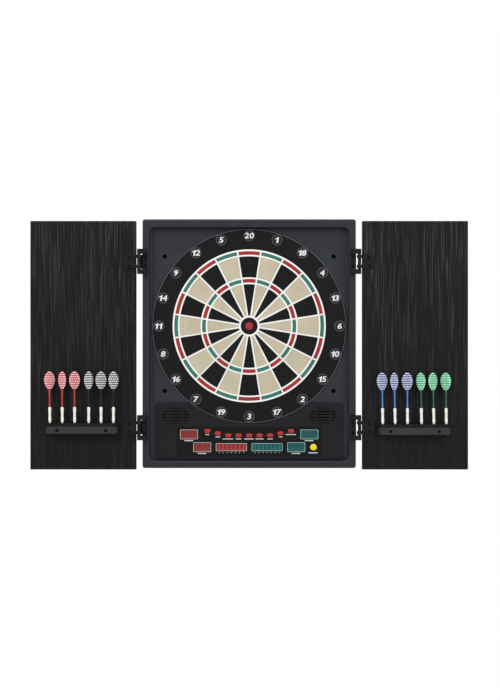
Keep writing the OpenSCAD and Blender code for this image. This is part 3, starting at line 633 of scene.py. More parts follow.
SECTORS = 20
STEP = 360 / SECTORS
HALF = math.radians(STEP / 2)
DOUBLE, TREBLE = (159.4, 167.4), (97.2, 105.3)
BULL_R, BULLSEYE_R = 19.0, 8.3
WEB, RING_WEB = 3.3, 3.6
INNER_FROM = BULL_R + 4.4
SPIDER_R, SPIDER_FLANGE_R = DOUBLE[1] + 3.9, 176.5
SPIDER_BACK, SPIDER_FRONT = 28.0, 40.2
SEGMENT_BACK, FLANGE_FRONT, SEGMENT_FRONT = 26.0, 27.7, 39.6
SEGMENT_GAP, FLANGE_LAP = 0.35, 0.6
SINGLES = {"outer": (TREBLE[1] + RING_WEB, DOUBLE[0] - RING_WEB), "inner": (INNER_FROM, TREBLE[0] - RING_WEB)}
DOT_PITCH, DOT_R, DOT_DEPTH = 3.9, 1.3, 8.0
DOT_MARGIN = DOT_PITCH * 0.62
BULL_DOTS = ((11.7, 19), (15.2, 27))                # radius of each ring of dart holes, and their number
BULLSEYE_DOTS = ((0.0, 1), (3.0, 6), (5.9, 12))
LIP = 0.5                   # rounding of the web's and the outer bull's edges
NUMBERS = [20, 1, 18, 4, 13, 6, 10, 15, 2, 17, 3, 19, 7, 16, 8, 11, 14, 9, 12, 5]


def polar(r, turn):
    """A point at a radius, turned clockwise from straight up by radians."""
    return r * math.sin(turn), r * math.cos(turn)


def sector_outline(r_in, r_out, gap):
    """One segment's outline, whose straight sides keep a gap from the sector's edges."""
    points = []
    for r, way in ((r_out, 1), (r_in, -1)):
        reach = HALF - math.asin(min(gap / r, 0.99))
        count = max(3, round(reach * 2 * r / 5))
        points += [polar(r, way * reach * (1 - 2 * k / count)) for k in range(count + 1)]
    return points


def dots(r_in, r_out, gap):
    """Centres of the dart holes: rows that follow the rings, and run along the sector's sides."""
    rows = max(1, round((r_out - r_in - 2 * DOT_MARGIN) / (DOT_PITCH * 0.9)) + 1)
    margin = DOT_MARGIN if rows > 1 else (r_out - r_in) / 2
    centres = []
    for k in range(rows):
        r = r_in + margin + (r_out - r_in - 2 * margin) * (k / (rows - 1) if rows > 1 else 0)
        room = 2 * (r * HALF - gap - DOT_MARGIN)
        if room < -1.2:
            continue
        count = max(0, min(round(room / DOT_PITCH), int(room / (2.5 * DOT_R))))
        centres += [polar(r, (j / count - 0.5) * room / r if count else 0.0) for j in range(count + 1)]
    return centres


def build_segments(name, r_in, r_out, first, finish):
    """Every second segment of one ring, with its dart holes and its flange."""
    one = Solid()
    gap = WEB / 2 + SEGMENT_GAP
    body = one.tower(sector_outline(r_in + SEGMENT_GAP, r_out - SEGMENT_GAP, gap),
                     [(0, FLANGE_FRONT - 0.01)] + eased(0, SEGMENT_FRONT, 0.45, 3))
    holes = []
    for x, z in dots(r_in, r_out, gap):
        hole = one.tower(circle(x, z, DOT_R, 6), [(0, SEGMENT_FRONT), (0.12, SEGMENT_FRONT - DOT_DEPTH)])
        one.add(*hole[1])
        holes.append(hole[0])
    one.fill(body[-1], *holes)
    one.fill(body[0])
    one.block(sector_outline(r_in - FLANGE_LAP, r_out + FLANGE_LAP, WEB / 2 - FLANGE_LAP),
              [(0, SEGMENT_BACK), (0, FLANGE_FRONT)])
    solid = Solid()
    for k in range(first, SECTORS, 2):
        solid.repeat(one.points, one.faces, STEP * k)
    piece(solid, name + "_faces", [finish], name)


def drill(solid, rings, front, shift):
    """Dart holes in rings of (radius, number) round the bullseye, and their loops at the front."""
    holes = []
    for r, count in rings:
        for k in range(count):
            hole = solid.tower(circle(*polar(r, math.tau * (k + shift) / count), DOT_R * 0.9, 6),
                               [(0, front), (0.12, front - DOT_DEPTH)])
            solid.add(*hole[1])
            holes.append(hole[0])
    return holes


def build_bulls():
    """The outer bull, a ring with dart holes, and the bullseye in it."""
    solid = Solid()
    front = circle(0, 0, BULL_R - SEGMENT_GAP, 72)
    bore = circle(0, 0, BULLSEYE_R + SEGMENT_GAP, 48)
    wall = solid.tower(front, [(0, FLANGE_FRONT)] + eased(0, SEGMENT_FRONT, LIP, 3))
    flange = solid.tower(front, [(-0.95, SEGMENT_BACK), (-0.95, FLANGE_FRONT)])
    solid.bridge(flange[-1], wall[0])
    inner = solid.tower(bore, [(-LIP, SEGMENT_FRONT), (0, SEGMENT_FRONT - LIP), (0, FLANGE_FRONT + 2.3)])
    pocket = solid.tower(circle(0, 0, BULLSEYE_R + 1.6, 48), [(0, FLANGE_FRONT + 2.3), (0, SEGMENT_BACK)])
    solid.bridge(inner[-1], pocket[0])
    solid.fill(flange[0], pocket[-1])
    solid.fill(wall[-1], inner[0], *drill(solid, BULL_DOTS, SEGMENT_FRONT, 0.5))
    piece(solid, "outer_bull_face", ["black"], "outer_bull")

    solid = Solid()
    high = extent("bullseye")[5]
    flange = [(-1.2, SEGMENT_BACK), (-1.2, FLANGE_FRONT), (0, FLANGE_FRONT)]
    wall = solid.tower(circle(0, 0, BULLSEYE_R, 48), flange + eased(0, high, 0.6, 4))
    solid.fill(wall[0])
    solid.fill(wall[-1], *drill(solid, BULLSEYE_DOTS, high, 0))
    piece(solid, "bullseye_face", ["red"], "bullseye")


def build_spider():
    """One sector of the web, between its two middle lines, and nineteen turned copies."""
    one = Solid()
    count = 9
    edge = eased(0, SPIDER_FRONT, LIP, 3)
    rim = [[one.loop([polar(r, HALF * (1 - 2 * k / count)) for k in range(count + 1)], depth)
            for r, depth in profile] for profile in (
        [(SPIDER_R, SPIDER_BACK)] + [(SPIDER_R - i, d) for i, d in edge],
        [(BULL_R, SPIDER_BACK)] + [(BULL_R + i, d) for i, d in edge])]
    for loops in rim:
        for a, b in zip(loops, loops[1:]):
            one.bridge(a, b, closed=False)
    cell = [(-i, d) for i, d in reversed(edge)] + [(0, SPIDER_BACK)]
    holes = [one.tower(sector_outline(r_in, r_out, WEB / 2), cell)
             for r_in, r_out in (SINGLES["inner"], TREBLE, SINGLES["outer"], DOUBLE)]
    one.fill(rim[0][-1] + rim[1][-1][::-1], *(h[0] for h in holes))
    one.fill(rim[0][0] + rim[1][0][::-1], *(h[-1] for h in holes))
    solid = Solid()
    for k in range(SECTORS):
        solid.repeat(one.points, one.faces, STEP * k)
    bore, reach = SPIDER_R + 0.03, SPIDER_FLANGE_R
    flange = [(bore, 0), (reach, 0), (reach, 2.1), (reach - 0.4, 2.5), (bore, 2.5), (bore, 0)]
    solid.lathe([(r, SPIDER_BACK + d) for r, d in flange], count=180)
    piece(solid, "spider", ["spider"], "spider_web", weld=0.002)


CATCH_IN, CATCH_OUT = SPIDER_R + 0.2, 216.7
CATCH_FRONT, CATCH_BACK = 39.5, 31.0
NUMBER_R, DISC_R, DISC_FRONT = 202.3, 12.4, 40.0
RIBS, RIB_W, RIB_FROM, RIB_TO = 360, 1.5, 175.4, 213.2
RIB_FOOT = CATCH_FRONT - 0.55
NUMERAL_H, NUMERAL_T = 12.6, 0.45
COLLAR_BACK = 30.5
LUG_AT, LUG_R = 224.0, 6.8
RING, DISC_EDGE_HIGHLIGHT, DISC, RING_LIP_HIGHLIGHT = range(4)          # the ring's finishes, two of them painted highlights


def build_catch_ring():
    """The ring with its fine ribs, number discs with a painted highlight round their edges, an outer lip
    painted pale as a highlight, and four fixing lugs.
    """
    solid = Solid()
    solid.lathe([(CATCH_IN, COLLAR_BACK), (CATCH_IN, CATCH_FRONT - 0.4), (CATCH_IN + 0.4, CATCH_FRONT),
                 (RIB_FROM - 0.9, CATCH_FRONT), (RIB_FROM - 0.5, RIB_FOOT), (RIB_TO + 0.4, RIB_FOOT),
                 (RIB_TO + 0.8, CATCH_FRONT), (CATCH_OUT - 1.1, CATCH_FRONT),
                 (CATCH_OUT - 0.4, CATCH_FRONT - 0.25), (CATCH_OUT, CATCH_FRONT - 0.9),
                 (CATCH_OUT, CATCH_BACK), (CATCH_OUT - WALL, CATCH_BACK),
                 (CATCH_OUT - WALL, CATCH_FRONT - WALL), (CATCH_IN + WALL, CATCH_FRONT - WALL),
                 (CATCH_IN + WALL, COLLAR_BACK), (CATCH_IN, COLLAR_BACK)], count=240)
    for k in range(RIBS):
        turn = math.tau * (k + 0.5) / RIBS
        ends = []
        for r, top in ((RIB_FROM - 0.2, RIB_FROM + 0.4), (RIB_TO + 0.2, RIB_TO - 0.4)):
            corners = ((r, -RIB_W / 2, RIB_FOOT - 0.1), (top, -RIB_W * 0.22, CATCH_FRONT - 0.08),
                       (top, RIB_W * 0.22, CATCH_FRONT - 0.08), (r, RIB_W / 2, RIB_FOOT - 0.1))
            ends.append([solid.loop([polar(radius, turn + shift / radius)], depth)[0]
                         for radius, shift, depth in corners])
        solid.bridge(*ends)
        solid.add(*ends[0])
        solid.add(*ends[1])
    for k in range(SECTORS):
        disc = circle(*polar(NUMBER_R, math.radians(STEP * k)), DISC_R, 48)
        solid.kind = RING
        wall = solid.tower(disc, [(0, RIB_FOOT - 0.2), (0, DISC_FRONT - 0.35), (0.35, DISC_FRONT)])
        solid.fill(wall[0])
        # painted highlight: the disc's edge is pale all round
        solid.kind = DISC_EDGE_HIGHLIGHT
        solid.tower(disc, [(0.35, DISC_FRONT), (1.3, DISC_FRONT)])
        solid.kind = DISC
        dish = solid.tower(disc, [(1.3, DISC_FRONT), (1.9, DISC_FRONT - 0.6)])
        solid.fill(dish[-1])
    # painted highlight: the ring's outer lip is pale
    solid.kind = RING_LIP_HIGHLIGHT
    solid.lathe([(CATCH_OUT - 1.2, CATCH_FRONT - 0.1), (CATCH_OUT - 1.1, CATCH_FRONT + 0.15),
                 (CATCH_OUT - 0.4, CATCH_FRONT + 0.1), (CATCH_OUT - 0.2, CATCH_FRONT - 0.5),
                 (CATCH_OUT - 1.2, CATCH_FRONT - 0.5), (CATCH_OUT - 1.2, CATCH_FRONT - 0.1)], count=240)
    solid.kind = RING
    for k in range(4):
        centre = polar(LUG_AT, math.radians(45 + 90 * k))
        solid.block(circle(*centre, LUG_R, 24), [(0, CATCH_BACK), (0, FLOOR - WALL - 0.02)])
    piece(solid, "number_ring", ("ring", "disc_edge_painted_highlight", "disc", "ring_lip_painted_highlight"), "catch_ring")


ONE = [(0.30, 0), (0.54, 0), (0.54, 1), (0.37, 1), (0.30, 0.87),
       (0.20, 0.80), (0.06, 0.76), (0.06, 0.61), (0.30, 0.67)]
EXTRUDE = 0.05


def digit_mesh(digit, bold):
    """One digit of height 1 from x = 0, as points (x, y, 0 or 1) and faces."""
    if digit == "1":
        count = len(ONE)
        points = [(x, y, level) for level in (0.0, 1.0) for x, y in ONE]
        sides = [(k, (k + 1) % count, count + (k + 1) % count, count + k) for k in range(count)]
        return points, sides + [tuple(range(count)), tuple(range(count, 2 * count))]
    curve = bpy.data.curves.new("numeral", "FONT")
    curve.body, curve.size, curve.extrude, curve.offset, curve.resolution_u = digit, 1.0, EXTRUDE, bold, 4
    holder = bpy.data.objects.new("numeral", curve)
    bpy.context.scene.collection.objects.link(holder)
    bpy.context.view_layer.update()
    mesh = bpy.data.meshes.new_from_object(holder.evaluated_get(bpy.context.evaluated_depsgraph_get()))
    bpy.data.objects.remove(holder)
    xs, ys = [v.co.x for v in mesh.vertices], [v.co.y for v in mesh.vertices]
    scale = 1 / (max(ys) - min(ys))
    left, foot = min(xs), min(ys)
    points = [((v.co.x - left) * scale, (v.co.y - foot) * scale, (v.co.z / EXTRUDE + 1) / 2)
              for v in mesh.vertices]
    faces = [tuple(p.vertices) for p in mesh.polygons]
    bpy.data.meshes.remove(mesh)
    return points, faces


def numeral_mesh(text, height, thick, bold=0.0, shear=0.0, wide=1.0):
    """A number's solid outline in mm, upright on the face, with its middle at the origin."""
    points, faces, at = [], [], 0.0
    for digit in text:
        own_points, own_faces = digit_mesh(digit, bold)
        start = len(points)
        points += [(at + x * wide, y, level) for x, y, level in own_points]
        faces += [(tuple(i + start for i in corners), 0) for corners in own_faces]
        at = max(p[0] for p in points[start:]) + 0.08
    points = [(x + shear * y, y, level) for x, y, level in points]
    middle = (max(p[0] for p in points) + min(p[0] for p in points)) / 2
    return [((x - middle) * height, (y - 0.5) * height, level * thick) for x, y, level in points], faces


def stamp(solid, drawn, x, z, depth):
    points, faces = drawn
    start = len(solid.points)
    solid.points += [(px + x, pz + z, pd + depth) for px, pz, pd in points]
    solid.faces += [(tuple(i + start for i in corners), solid.kind) for corners, _ in faces]


def build_numerals():
    solid = Solid()
    for k, number in enumerate(NUMBERS):
        stamp(solid, numeral_mesh(str(number), NUMERAL_H, NUMERAL_T, bold=0.02, shear=0.16, wide=1.2),
              *polar(NUMBER_R, math.radians(STEP * k)), DISC_FRONT - 0.65)
    piece(solid, "numerals", ["numeral"], "catch_ring", weighted=False, stands_for=False)


for ring, (r_in, r_out) in (("double", DOUBLE), ("treble", TREBLE)):
    for first, tint in enumerate(("red", "green")):
        build_segments(f"{ring}_segments_{tint}", r_in, r_out, first, tint)
for ring, (r_in, r_out) in SINGLES.items():
    for first, tint in enumerate(("black", "cream")):
        build_segments(f"{ring}_single_segments_{tint}", r_in, r_out, first, tint)
build_bulls()
build_spider()
build_catch_ring()
build_numerals()


# ---------------------------------------------------------------- console

PANEL_W, PANEL_H, PANEL_Z = 324.0, 66.0, -258.3
PANEL_FRONT = 38.7
MODULE_BACK, MODULE_FRONT = 26.5, 38.5
BORDER_EDGES = ((-0.3, -0.1), (0.9, 0.7))           # a border's insets at its foot and its front


def build_panel():
    """The printed panel, with a pale border round each window, small marks and numbers."""
    solid = Solid()
    outside = solid.tower(rounded(0, PANEL_Z, PANEL_W, PANEL_H, 2.0),
                          [(0, CONSOLE)] + eased(0, PANEL_FRONT, 0.3, 2))
    holes = [solid.tower(o, [(0, PANEL_FRONT), (0, CONSOLE)]) for o in openings(0.3)]
    solid.fill(outside[-1], *(h[0] for h in holes))
    solid.fill(outside[0], *(h[1] for h in holes))
    piece(solid, "panel", ["panel"], "panel_overlay")

    for side, finish in ((-1, "bezel"), (1, "teal_bezel")):
        solid = Solid()
        for x, z, w, h in DISPLAYS:
            edge = rounded(side * x, z, w + 0.6, h + 0.6, 1.6, 4)
            outer, inner = (solid.tower(edge, [(foot, PANEL_FRONT - 0.1), (foot, PANEL_FRONT + 0.25),
                                               (top, PANEL_FRONT + 0.4)]) for foot, top in BORDER_EDGES)
            solid.bridge(outer[-1], inner[-1])
            solid.bridge(outer[0], inner[0])
        piece(solid, ("red" if side < 0 else "green") + "_window_borders", [finish],
              "panel_overlay", weighted=False, stands_for=False)


MARK_T = 0.12
BUTTON_MARKS = [8, 10, 24, 13, 22, 18, 12, 8, 24]    # widths of the printed marks under the buttons
MARK_DROP = 7.6
BUTTON_MARK_H, MARK_H = 2.1, 2.3
DISPLAY_MARK_W, ROUND_MARK_W = 20, 22
SMALL_NUMERAL_H = 2.6
CELLS = 7.4                 # the long window's width over the pitch of its seven cells


def word_marks(solid, x, z, width, height):
    """A printed mark: a row of small blocks of changing width."""
    blocks, at, k = [], 0.0, 0
    while at < width - 0.8:
        w = min((1.5, 2.2, 1.2, 1.9, 1.6)[k % 5], width - at)
        blocks.append((at + w / 2, w))
        at, k = at + w + 0.45, k + 1
    for middle, w in blocks:
        solid.block(rounded(x - width / 2 + middle, z, w, height, 0.25, 2),
                    [(0, PANEL_FRONT - 0.02), (0, PANEL_FRONT + MARK_T)])


def build_marks():
    solid = Solid()
    for (x, z), width in zip(BUTTONS, BUTTON_MARKS):
        word_marks(solid, x, z - MARK_DROP, width, BUTTON_MARK_H)
    for side in (-1, 1):
        for x, z, w, h in DISPLAYS[:2]:
            word_marks(solid, side * x, z - h / 2 - 3.7, DISPLAY_MARK_W, MARK_H)
        x, z, w, h = DISPLAYS[2]
        for k in range(7):
            stamp(solid, numeral_mesh(str(k + 1), SMALL_NUMERAL_H, MARK_T + 0.02, bold=0.03),
                  side * x + (k - 3) * w / CELLS, z - h / 2 - 3.6, PANEL_FRONT - 0.02)
    word_marks(solid, ROUND_BUTTON[0], ROUND_BUTTON[1] - 12.6, ROUND_MARK_W, MARK_H)
    piece(solid, "panel_marks", ["mark"], "panel_overlay", weighted=False, stands_for=False)


DIGIT_H, DIGIT_W, DIGIT_SLANT, DIGIT_PITCH, BAR_T = 12.6, 7.4, 0.14, 11.8, 1.7
SEVEN = [((0, 1), "h"), ((-0.5, 0.5), "v"), ((0.5, 0.5), "v"), ((0, 0), "h"),
         ((-0.5, -0.5), "v"), ((0.5, -0.5), "v"), ((0, -1), "h")]


def digit_bar(x, z, length, thick, upright):
    """One bar of a seven-segment digit, pointed at both ends."""
    a, t = length / 2, thick / 2
    points = [(-a, 0), (-a + t, -t), (a - t, -t), (a, 0), (a - t, t), (-a + t, t)]
    return [(x + (v if upright else u), z + (u if upright else v)) for u, v in points]


def build_displays():
    """Tinted windows: the upper two on each side show three digits, the long one a row of cells."""
    face_at = MODULE_FRONT - 0.25
    raised = [(0, face_at - 0.05), (0, MODULE_FRONT - 0.02)]
    for side, tint in ((-1, "red"), (1, "green")):
        solid = Solid()
        for x, z, w, h in DISPLAYS:
            solid.kind = 0
            solid.block(rounded(side * x, z, w, h, 1.0, 3), [(0, MODULE_BACK)] + eased(0, face_at, 0.3, 2))
            solid.kind = 1
            if (w, h) == DIGITS:
                for k in (-1, 0, 1):
                    at = side * x + k * DIGIT_PITCH
                    for (u, v), way in SEVEN:
                        cx, cz = u * DIGIT_W, v * DIGIT_H / 2
                        length = (DIGIT_W if way == "h" else DIGIT_H / 2) - 0.7
                        bar = digit_bar(cx, cz, length, BAR_T, way == "v")
                        solid.block([(at + px + pz * DIGIT_SLANT, z + pz) for px, pz in bar], raised)
                    solid.block(circle(at + DIGIT_W / 2 + 1.4, z - DIGIT_H / 2, 0.8, 10), raised)
            else:
                pitch = w / CELLS
                for k in range(7):
                    solid.block(rounded(side * x + (k - 3) * pitch, z, pitch - 3.3, h - 4.0, 0.6, 2), raised)
        piece(solid, tint + "_display_modules", [tint + "_window", tint + "_digit"],
              tint + "_displays", weighted=False)


BUTTON_BACK, BUTTON_FLANGE, BUTTON_FRONT = 30.8, (33.3, 35.2, 1.9), 41.0


def build_buttons():
    foot, top, lap = BUTTON_FLANGE
    profile = [(0, BUTTON_BACK), (0, foot), (-lap, foot), (-lap, top), (0, top), (0, BUTTON_FRONT - 1.9)]
    crown = [(0.25, BUTTON_FRONT - 1.25), (0.8, BUTTON_FRONT - 0.65), (1.7, BUTTON_FRONT - 0.25),
             (2.9, BUTTON_FRONT - 0.05), (3.9, BUTTON_FRONT)]
    for k, (x, z) in enumerate(BUTTONS):
        solid = Solid()
        solid.block(lambda inset: oval(x, z, BUTTON_W - 2 * inset, BUTTON_H - 2 * inset), profile + crown)
        piece(solid, f"red_button_{k + 1}", ["red_button"], f"button_red_{k + 1}")
    solid = Solid()
    rings = [(ROUND_R - inset, depth) for inset, depth in profile + crown + [(5.6, BUTTON_FRONT - 0.12)]]
    solid.lathe([(0, BUTTON_BACK)] + rings + [(0, BUTTON_FRONT - 0.2)], *ROUND_BUTTON, count=48)
    piece(solid, "yellow_button", ["yellow_button"], "button_yellow")


build_panel()
build_marks()
build_displays()
build_buttons()


# ---------------------------------------------------------------- doors and racks

HINGE_Z = (143.2, -226.1)
SIDES = {"left": -1, "right": 1}


def upright(x, y, height):
    """Places a dart's or the floor's outline, which is stacked upwards."""
    return x * MM, y * MM, height * MM


def rack_place(x, depth, z):
    """Places a rack's outline, drawn as seen from above and stacked upwards."""
    return x * MM, -depth * MM, z * MM


def soften(outline, distance, steps=3):
    """An outline with each corner rounded off over a distance from it."""
    points = []
    for k, corner in enumerate(outline):
        corner = Vector(corner)
        a, b = (corner + (Vector(end) - corner).normalized() * distance
                for end in (outline[k - 1], outline[(k + 1) % len(outline)]))
        for j in range(steps + 1):
            t = j / steps
            points.append(tuple(a * (1 - t) ** 2 + corner * 2 * t * (1 - t) + b * t ** 2))
    return points


def build_doors():
    """Each door is one board with its edges eased."""
    for side in SIDES:
        x0, x1, z0, z1, back, front = extent(f"{side}_door_panel")
        solid = Solid()
        solid.block(rounded((x0 + x1) / 2, (z0 + z1) / 2, x1 - x0, z1 - z0, 1.6, 4),
                    [(0.9, back), (0.25, back + 0.3), (0, back + 0.9)] + eased(0, front, 0.6, 4))
        piece(solid, f"{side}_door", ["wood"], f"{side}_door_panel")


DARTS = {"left": ("red", "black"), "right": ("blue", "green")}
TIP_HOLE = 2.4
RACK_CHAMFER = 5.0
RACK_FRONT_H, RACK_STEP_H, RACK_STEP = 14.4, 16.4, 2.5
FIRST_PAINTED_SHADE_LEVEL = 5        # the rack is painted darker from this level of its profile up, as shade


def build_racks():
    """A bar with cut-off ends, a step behind its front edge, and six flared holes; from the step up, in its
    holes and underneath, it is painted darker as shade.
    """
    for side, tints in DARTS.items():
        x0, x1, low, top, back, front = extent(f"{side}_dart_rack")

        def plan(set_back, inset):
            c, edge = RACK_CHAMFER, front - set_back
            return soften([(x0 + inset, back), (x1 - inset, back), (x1 - inset, edge - c), (x1 - c, edge),
                           (x0 + c, edge), (x0 + inset, edge - c)], 0.5)

        solid = Solid(rack_place)
        levels = [(low, 0.6, 0.6), (low + 0.2, 0.2, 0.2), (low + 0.6, 0, 0), (low + RACK_FRONT_H - 0.5, 0, 0),
                  (low + RACK_FRONT_H - 0.1, 0.2, 0), (low + RACK_FRONT_H + 0.3, 0.7, 0),
                  (low + RACK_STEP_H, RACK_STEP, 0), (top - 0.5, RACK_STEP, 0),
                  (top - 0.15, RACK_STEP + 0.15, 0.15), (top, RACK_STEP + 0.5, 0.5)]
        loops = [solid.loop(plan(set_back, inset), z) for z, set_back, inset in levels]
        for k, (a, b) in enumerate(zip(loops, loops[1:])):
            # levels from the step up take the painted shade
            solid.kind = 1 if k >= FIRST_PAINTED_SHADE_LEVEL else 0
            solid.bridge(a, b)
        holes = []
        for tint in tints:
            for n in (1, 2, 3):
                d0, d1, _, _, near, far = extent(f"dart_{tint}_{n}")
                holes.append(solid.tower(circle((d0 + d1) / 2, (near + far) / 2, TIP_HOLE, 24), [
                    (-0.9, top), (-0.35, top - 0.3), (0, top - 0.9), (0, low + 0.5), (-0.4, low)]))
        solid.fill(loops[-1], *(hole[0] for hole in holes))
        solid.fill(loops[0], *(hole[-1] for hole in holes))
        piece(solid, f"{side}_rack", ["rack", "rack_step_painted_shade"], f"{side}_dart_rack")


# ---------------------------------------------------------------- screws

HEAD_R, SCREW_R = 2.9, 1.5
RACK_SCREW_AT, RACK_SCREW_R, RACK_HEAD_R, RACK_HEAD_T = 54.0, 1.9, 3.6, 1.4
CLIP_SCREW_X, CLIP_SCREW_Z, CLIP_FRONT, CLIP_HEAD_T = 267.1, 9.0, 52.5, 1.0
BRACKET_SCREW_X, BRACKET_SCREW_Z, BRACKET_FRONT, BRACKET_HEAD_T = 230.5, 10.5, 53.0, 1.2
DOOR_SCREW_TIP, BRACKET_SCREW_TIP, COVER_SCREW_TIP = 43.5, 41.0, 22.0
COVER_HEAD_T = 1.6
COVER_SCREWS = [(229.6, 229.6), (229.6, 50), (229.6, -130), (229.6, -308.6), (80, 229.6), (80, -308.6)]


def screw(solid, x, z, seat, tip, head_r, head_t, shaft_r):
    """A screw along the depth, with a low domed head and a cross recess. It may face either way."""
    way = 1 if seat > tip else -1
    high = way * head_t
    dome = [(head_r * r, seat + high * h)
            for r, h in ((1, 0), (1, 0.4), (0.95, 0.72), (0.84, 0.93), (0.72, 1))]
    shaft = [(0, tip), (shaft_r * 0.4, tip), (shaft_r, tip + way * 1.5), (shaft_r, seat)]
    rings = solid.lathe(shaft + dome, x, z, 28)
    a, b = head_r * 0.58, head_r * 0.15
    cross = [(x + u, z + v) for u, v in (
        (b, b), (b, a), (-b, a), (-b, b), (-a, b), (-a, -b),
        (-b, -b), (-b, -a), (b, -a), (b, -b), (a, -b), (a, b))]
    recess = solid.tower(cross, [(0, seat + high), (0.08, seat + high * 0.2)])
    solid.fill(rings[-1], recess[0])
    solid.fill(recess[1])


def build_screws():
    for side, sx in SIDES.items():
        x0, x1, low, _, _, front = extent(f"{side}_dart_rack")
        solid = Solid()
        for s in (-1, 1):
            screw(solid, (x0 + x1) / 2 + s * RACK_SCREW_AT, low + RACK_FRONT_H / 2, front, DOOR_SCREW_TIP,
                  RACK_HEAD_R, RACK_HEAD_T, RACK_SCREW_R)
            for z in HINGE_Z:
                screw(solid, sx * CLIP_SCREW_X, z + s * CLIP_SCREW_Z, CLIP_FRONT, DOOR_SCREW_TIP,
                      HEAD_R, CLIP_HEAD_T, SCREW_R)
        piece(solid, f"{side}_door_screw_heads", ["dark_steel"], f"{side}_door_screws")
    solid = Solid()
    for sx in SIDES.values():
        solid.kind = 0
        for x, z in COVER_SCREWS:
            screw(solid, sx * x, z, COVER_HEAD_T, COVER_SCREW_TIP, HEAD_R, COVER_HEAD_T, SCREW_R)
        solid.kind = 1
        for z in HINGE_Z:
            for s in (-1, 1):
                screw(solid, sx * BRACKET_SCREW_X, z + s * BRACKET_SCREW_Z, BRACKET_FRONT, BRACKET_SCREW_TIP,
                      HEAD_R, BRACKET_HEAD_T, SCREW_R)
    piece(solid, "housing_screw_heads", ["steel", "dark_steel"], "housing_screws")


CAP_R = 3.15
CAP = [(0.5, 2.6), (0, 3.1), (0, 4.0), (-0.9, 5.05), (-0.9, 5.6), (-0.4, 6.0)]
PLATE_X, PLATE_W, PLATE_H = LEFT - 3.9, 9.0, 31.0
PLATE_BACK, PLATE_FRONT = 43.0, 49.0


def build_fittings():
    """Black caps in the rear cover's wall-screw holes, which stand in as painted shade for the open holes,
    and the plates behind the left hinges' brackets.
    """
    solid = Solid()
    for x, z in WALL_SCREWS:
        solid.block(circle(x, z, CAP_R, 32), CAP)
    piece(solid, "wall_screw_hole_painted_shade_caps", ["painted_shade_plug"], "rear_cover", stands_for=False)
    solid = Solid()
    for z in HINGE_Z:
        solid.block(rounded(PLATE_X, z, PLATE_W, PLATE_H, 1.5, 4),
                    [(0.4, PLATE_BACK), (0, PLATE_BACK + 0.4)] + eased(0, PLATE_FRONT, 0.6, 3))
    piece(solid, "left_hinge_backing_plates", ["hinge"],
          "front_housing", stands_for=False)


# ---------------------------------------------------------------- darts

BARREL, STEM, FLIGHT, TIP = 35.3, 38.4, 40.4, 25.5
FLIGHT_HALF, FILM = 11.9, 0.22
TURN = {"red": (20, 55, 5), "black": (40, 12, 30), "blue": (10, 35, 80), "green": (50, 25, 65)}
LEAN = {"red": (0.6, 0.3, 0.3), "black": (0.0, 0.2, 0.0), "blue": (1.0, 1.2, 0.5), "green": (1.0, 1.4, 0.8)}


ON_BARREL, ON_TIP, ON_RIB, ON_FLUTE_HIGHLIGHT, ON_FLIGHT = range(5)          # a dart's finishes


def add_barrel(solid):
    """A waisted barrel with fine turned grooves round its grip."""
    profile = [(0, 0), (1.8, 0), (2.1, 0.35), (2.8, 3.2), (3.15, 4.9), (3.3, 5.7), (3.3, 8.2)]
    grooves = 10
    for k in range(grooves):
        at = 8.8 + k * 1.62
        r = 3.3 - 0.38 * math.sin(math.pi * (at - 8) / 19.5)
        profile += [(r, at), (r - 0.14, at + 0.18), (r - 0.14, at + 0.55), (r, at + 0.73)]
    profile += [(3.1, 25.4), (3.4, 28), (3.4, 33.1), (3.3, 33.8), (2.8, 35.1), (2.5, BARREL), (0, BARREL)]
    solid.lathe(profile, count=32)


def add_stem(solid, turn):
    """A fluted stem: four flutes, one of them towards the player, painted paler as a highlight, between ribs
    in the stem's own darker colour.
    """
    count, rings = 32, []
    profile = [(2.4, 0), (2.6, 0.3), (2.6, 23), (2.85, 29), (3.35, 34), (3.6, 36),
               (3.6, STEM - 0.4), (3.3, STEM)]
    for r, h in profile:
        points = []
        for k in range(count):
            a = math.tau * k / count
            flute = 0.5 + 0.5 * math.cos(4 * (a + math.radians(turn + 90)))
            points.append(((r - 0.22 * flute) * math.cos(a), (r - 0.22 * flute) * math.sin(a)))
        rings.append(solid.loop(points, BARREL + h))
    for a, b in zip(rings, rings[1:]):
        for k in range(count):
            middle = math.tau * (k + 0.5) / count
            # the flutes take the painted highlight
            solid.kind = ON_FLUTE_HIGHLIGHT if math.cos(4 * (middle + math.radians(turn + 90))) > 0.1 else ON_RIB
            solid.add(a[k], a[(k + 1) % count], b[(k + 1) % count], b[k])
    solid.kind = ON_RIB
    solid.add(*rings[0])
    solid.add(*rings[-1])


def add_flight(solid):
    """Two crossed sheets of film, widest above their middle."""
    steps, foot = 28, BARREL + STEM
    half = [(FLIGHT_HALF * max(math.sin(math.pi * (k / steps) ** 1.15), 0) ** 0.5, foot + FLIGHT * k / steps)
            for k in range(steps + 1)]
    outline = half + [(-w, h) for w, h in half[-2:0:-1]]
    for crossed in (False, True):
        sheets = []
        for side in (-FILM, FILM):
            start = len(solid.points)
            solid.points += [(side, w, h) if crossed else (w, side, h) for w, h in outline]
            sheets.append(list(range(start, len(solid.points))))
            solid.add(*sheets[-1])
        solid.bridge(*sheets)


POINT = [(0, -TIP), (0.35, -TIP), (0.6, 0.3 - TIP), (1.3, 5 - TIP), (1.3, -3),
         (1.6, -2.6), (2, -2), (2, 0), (0, 0)]


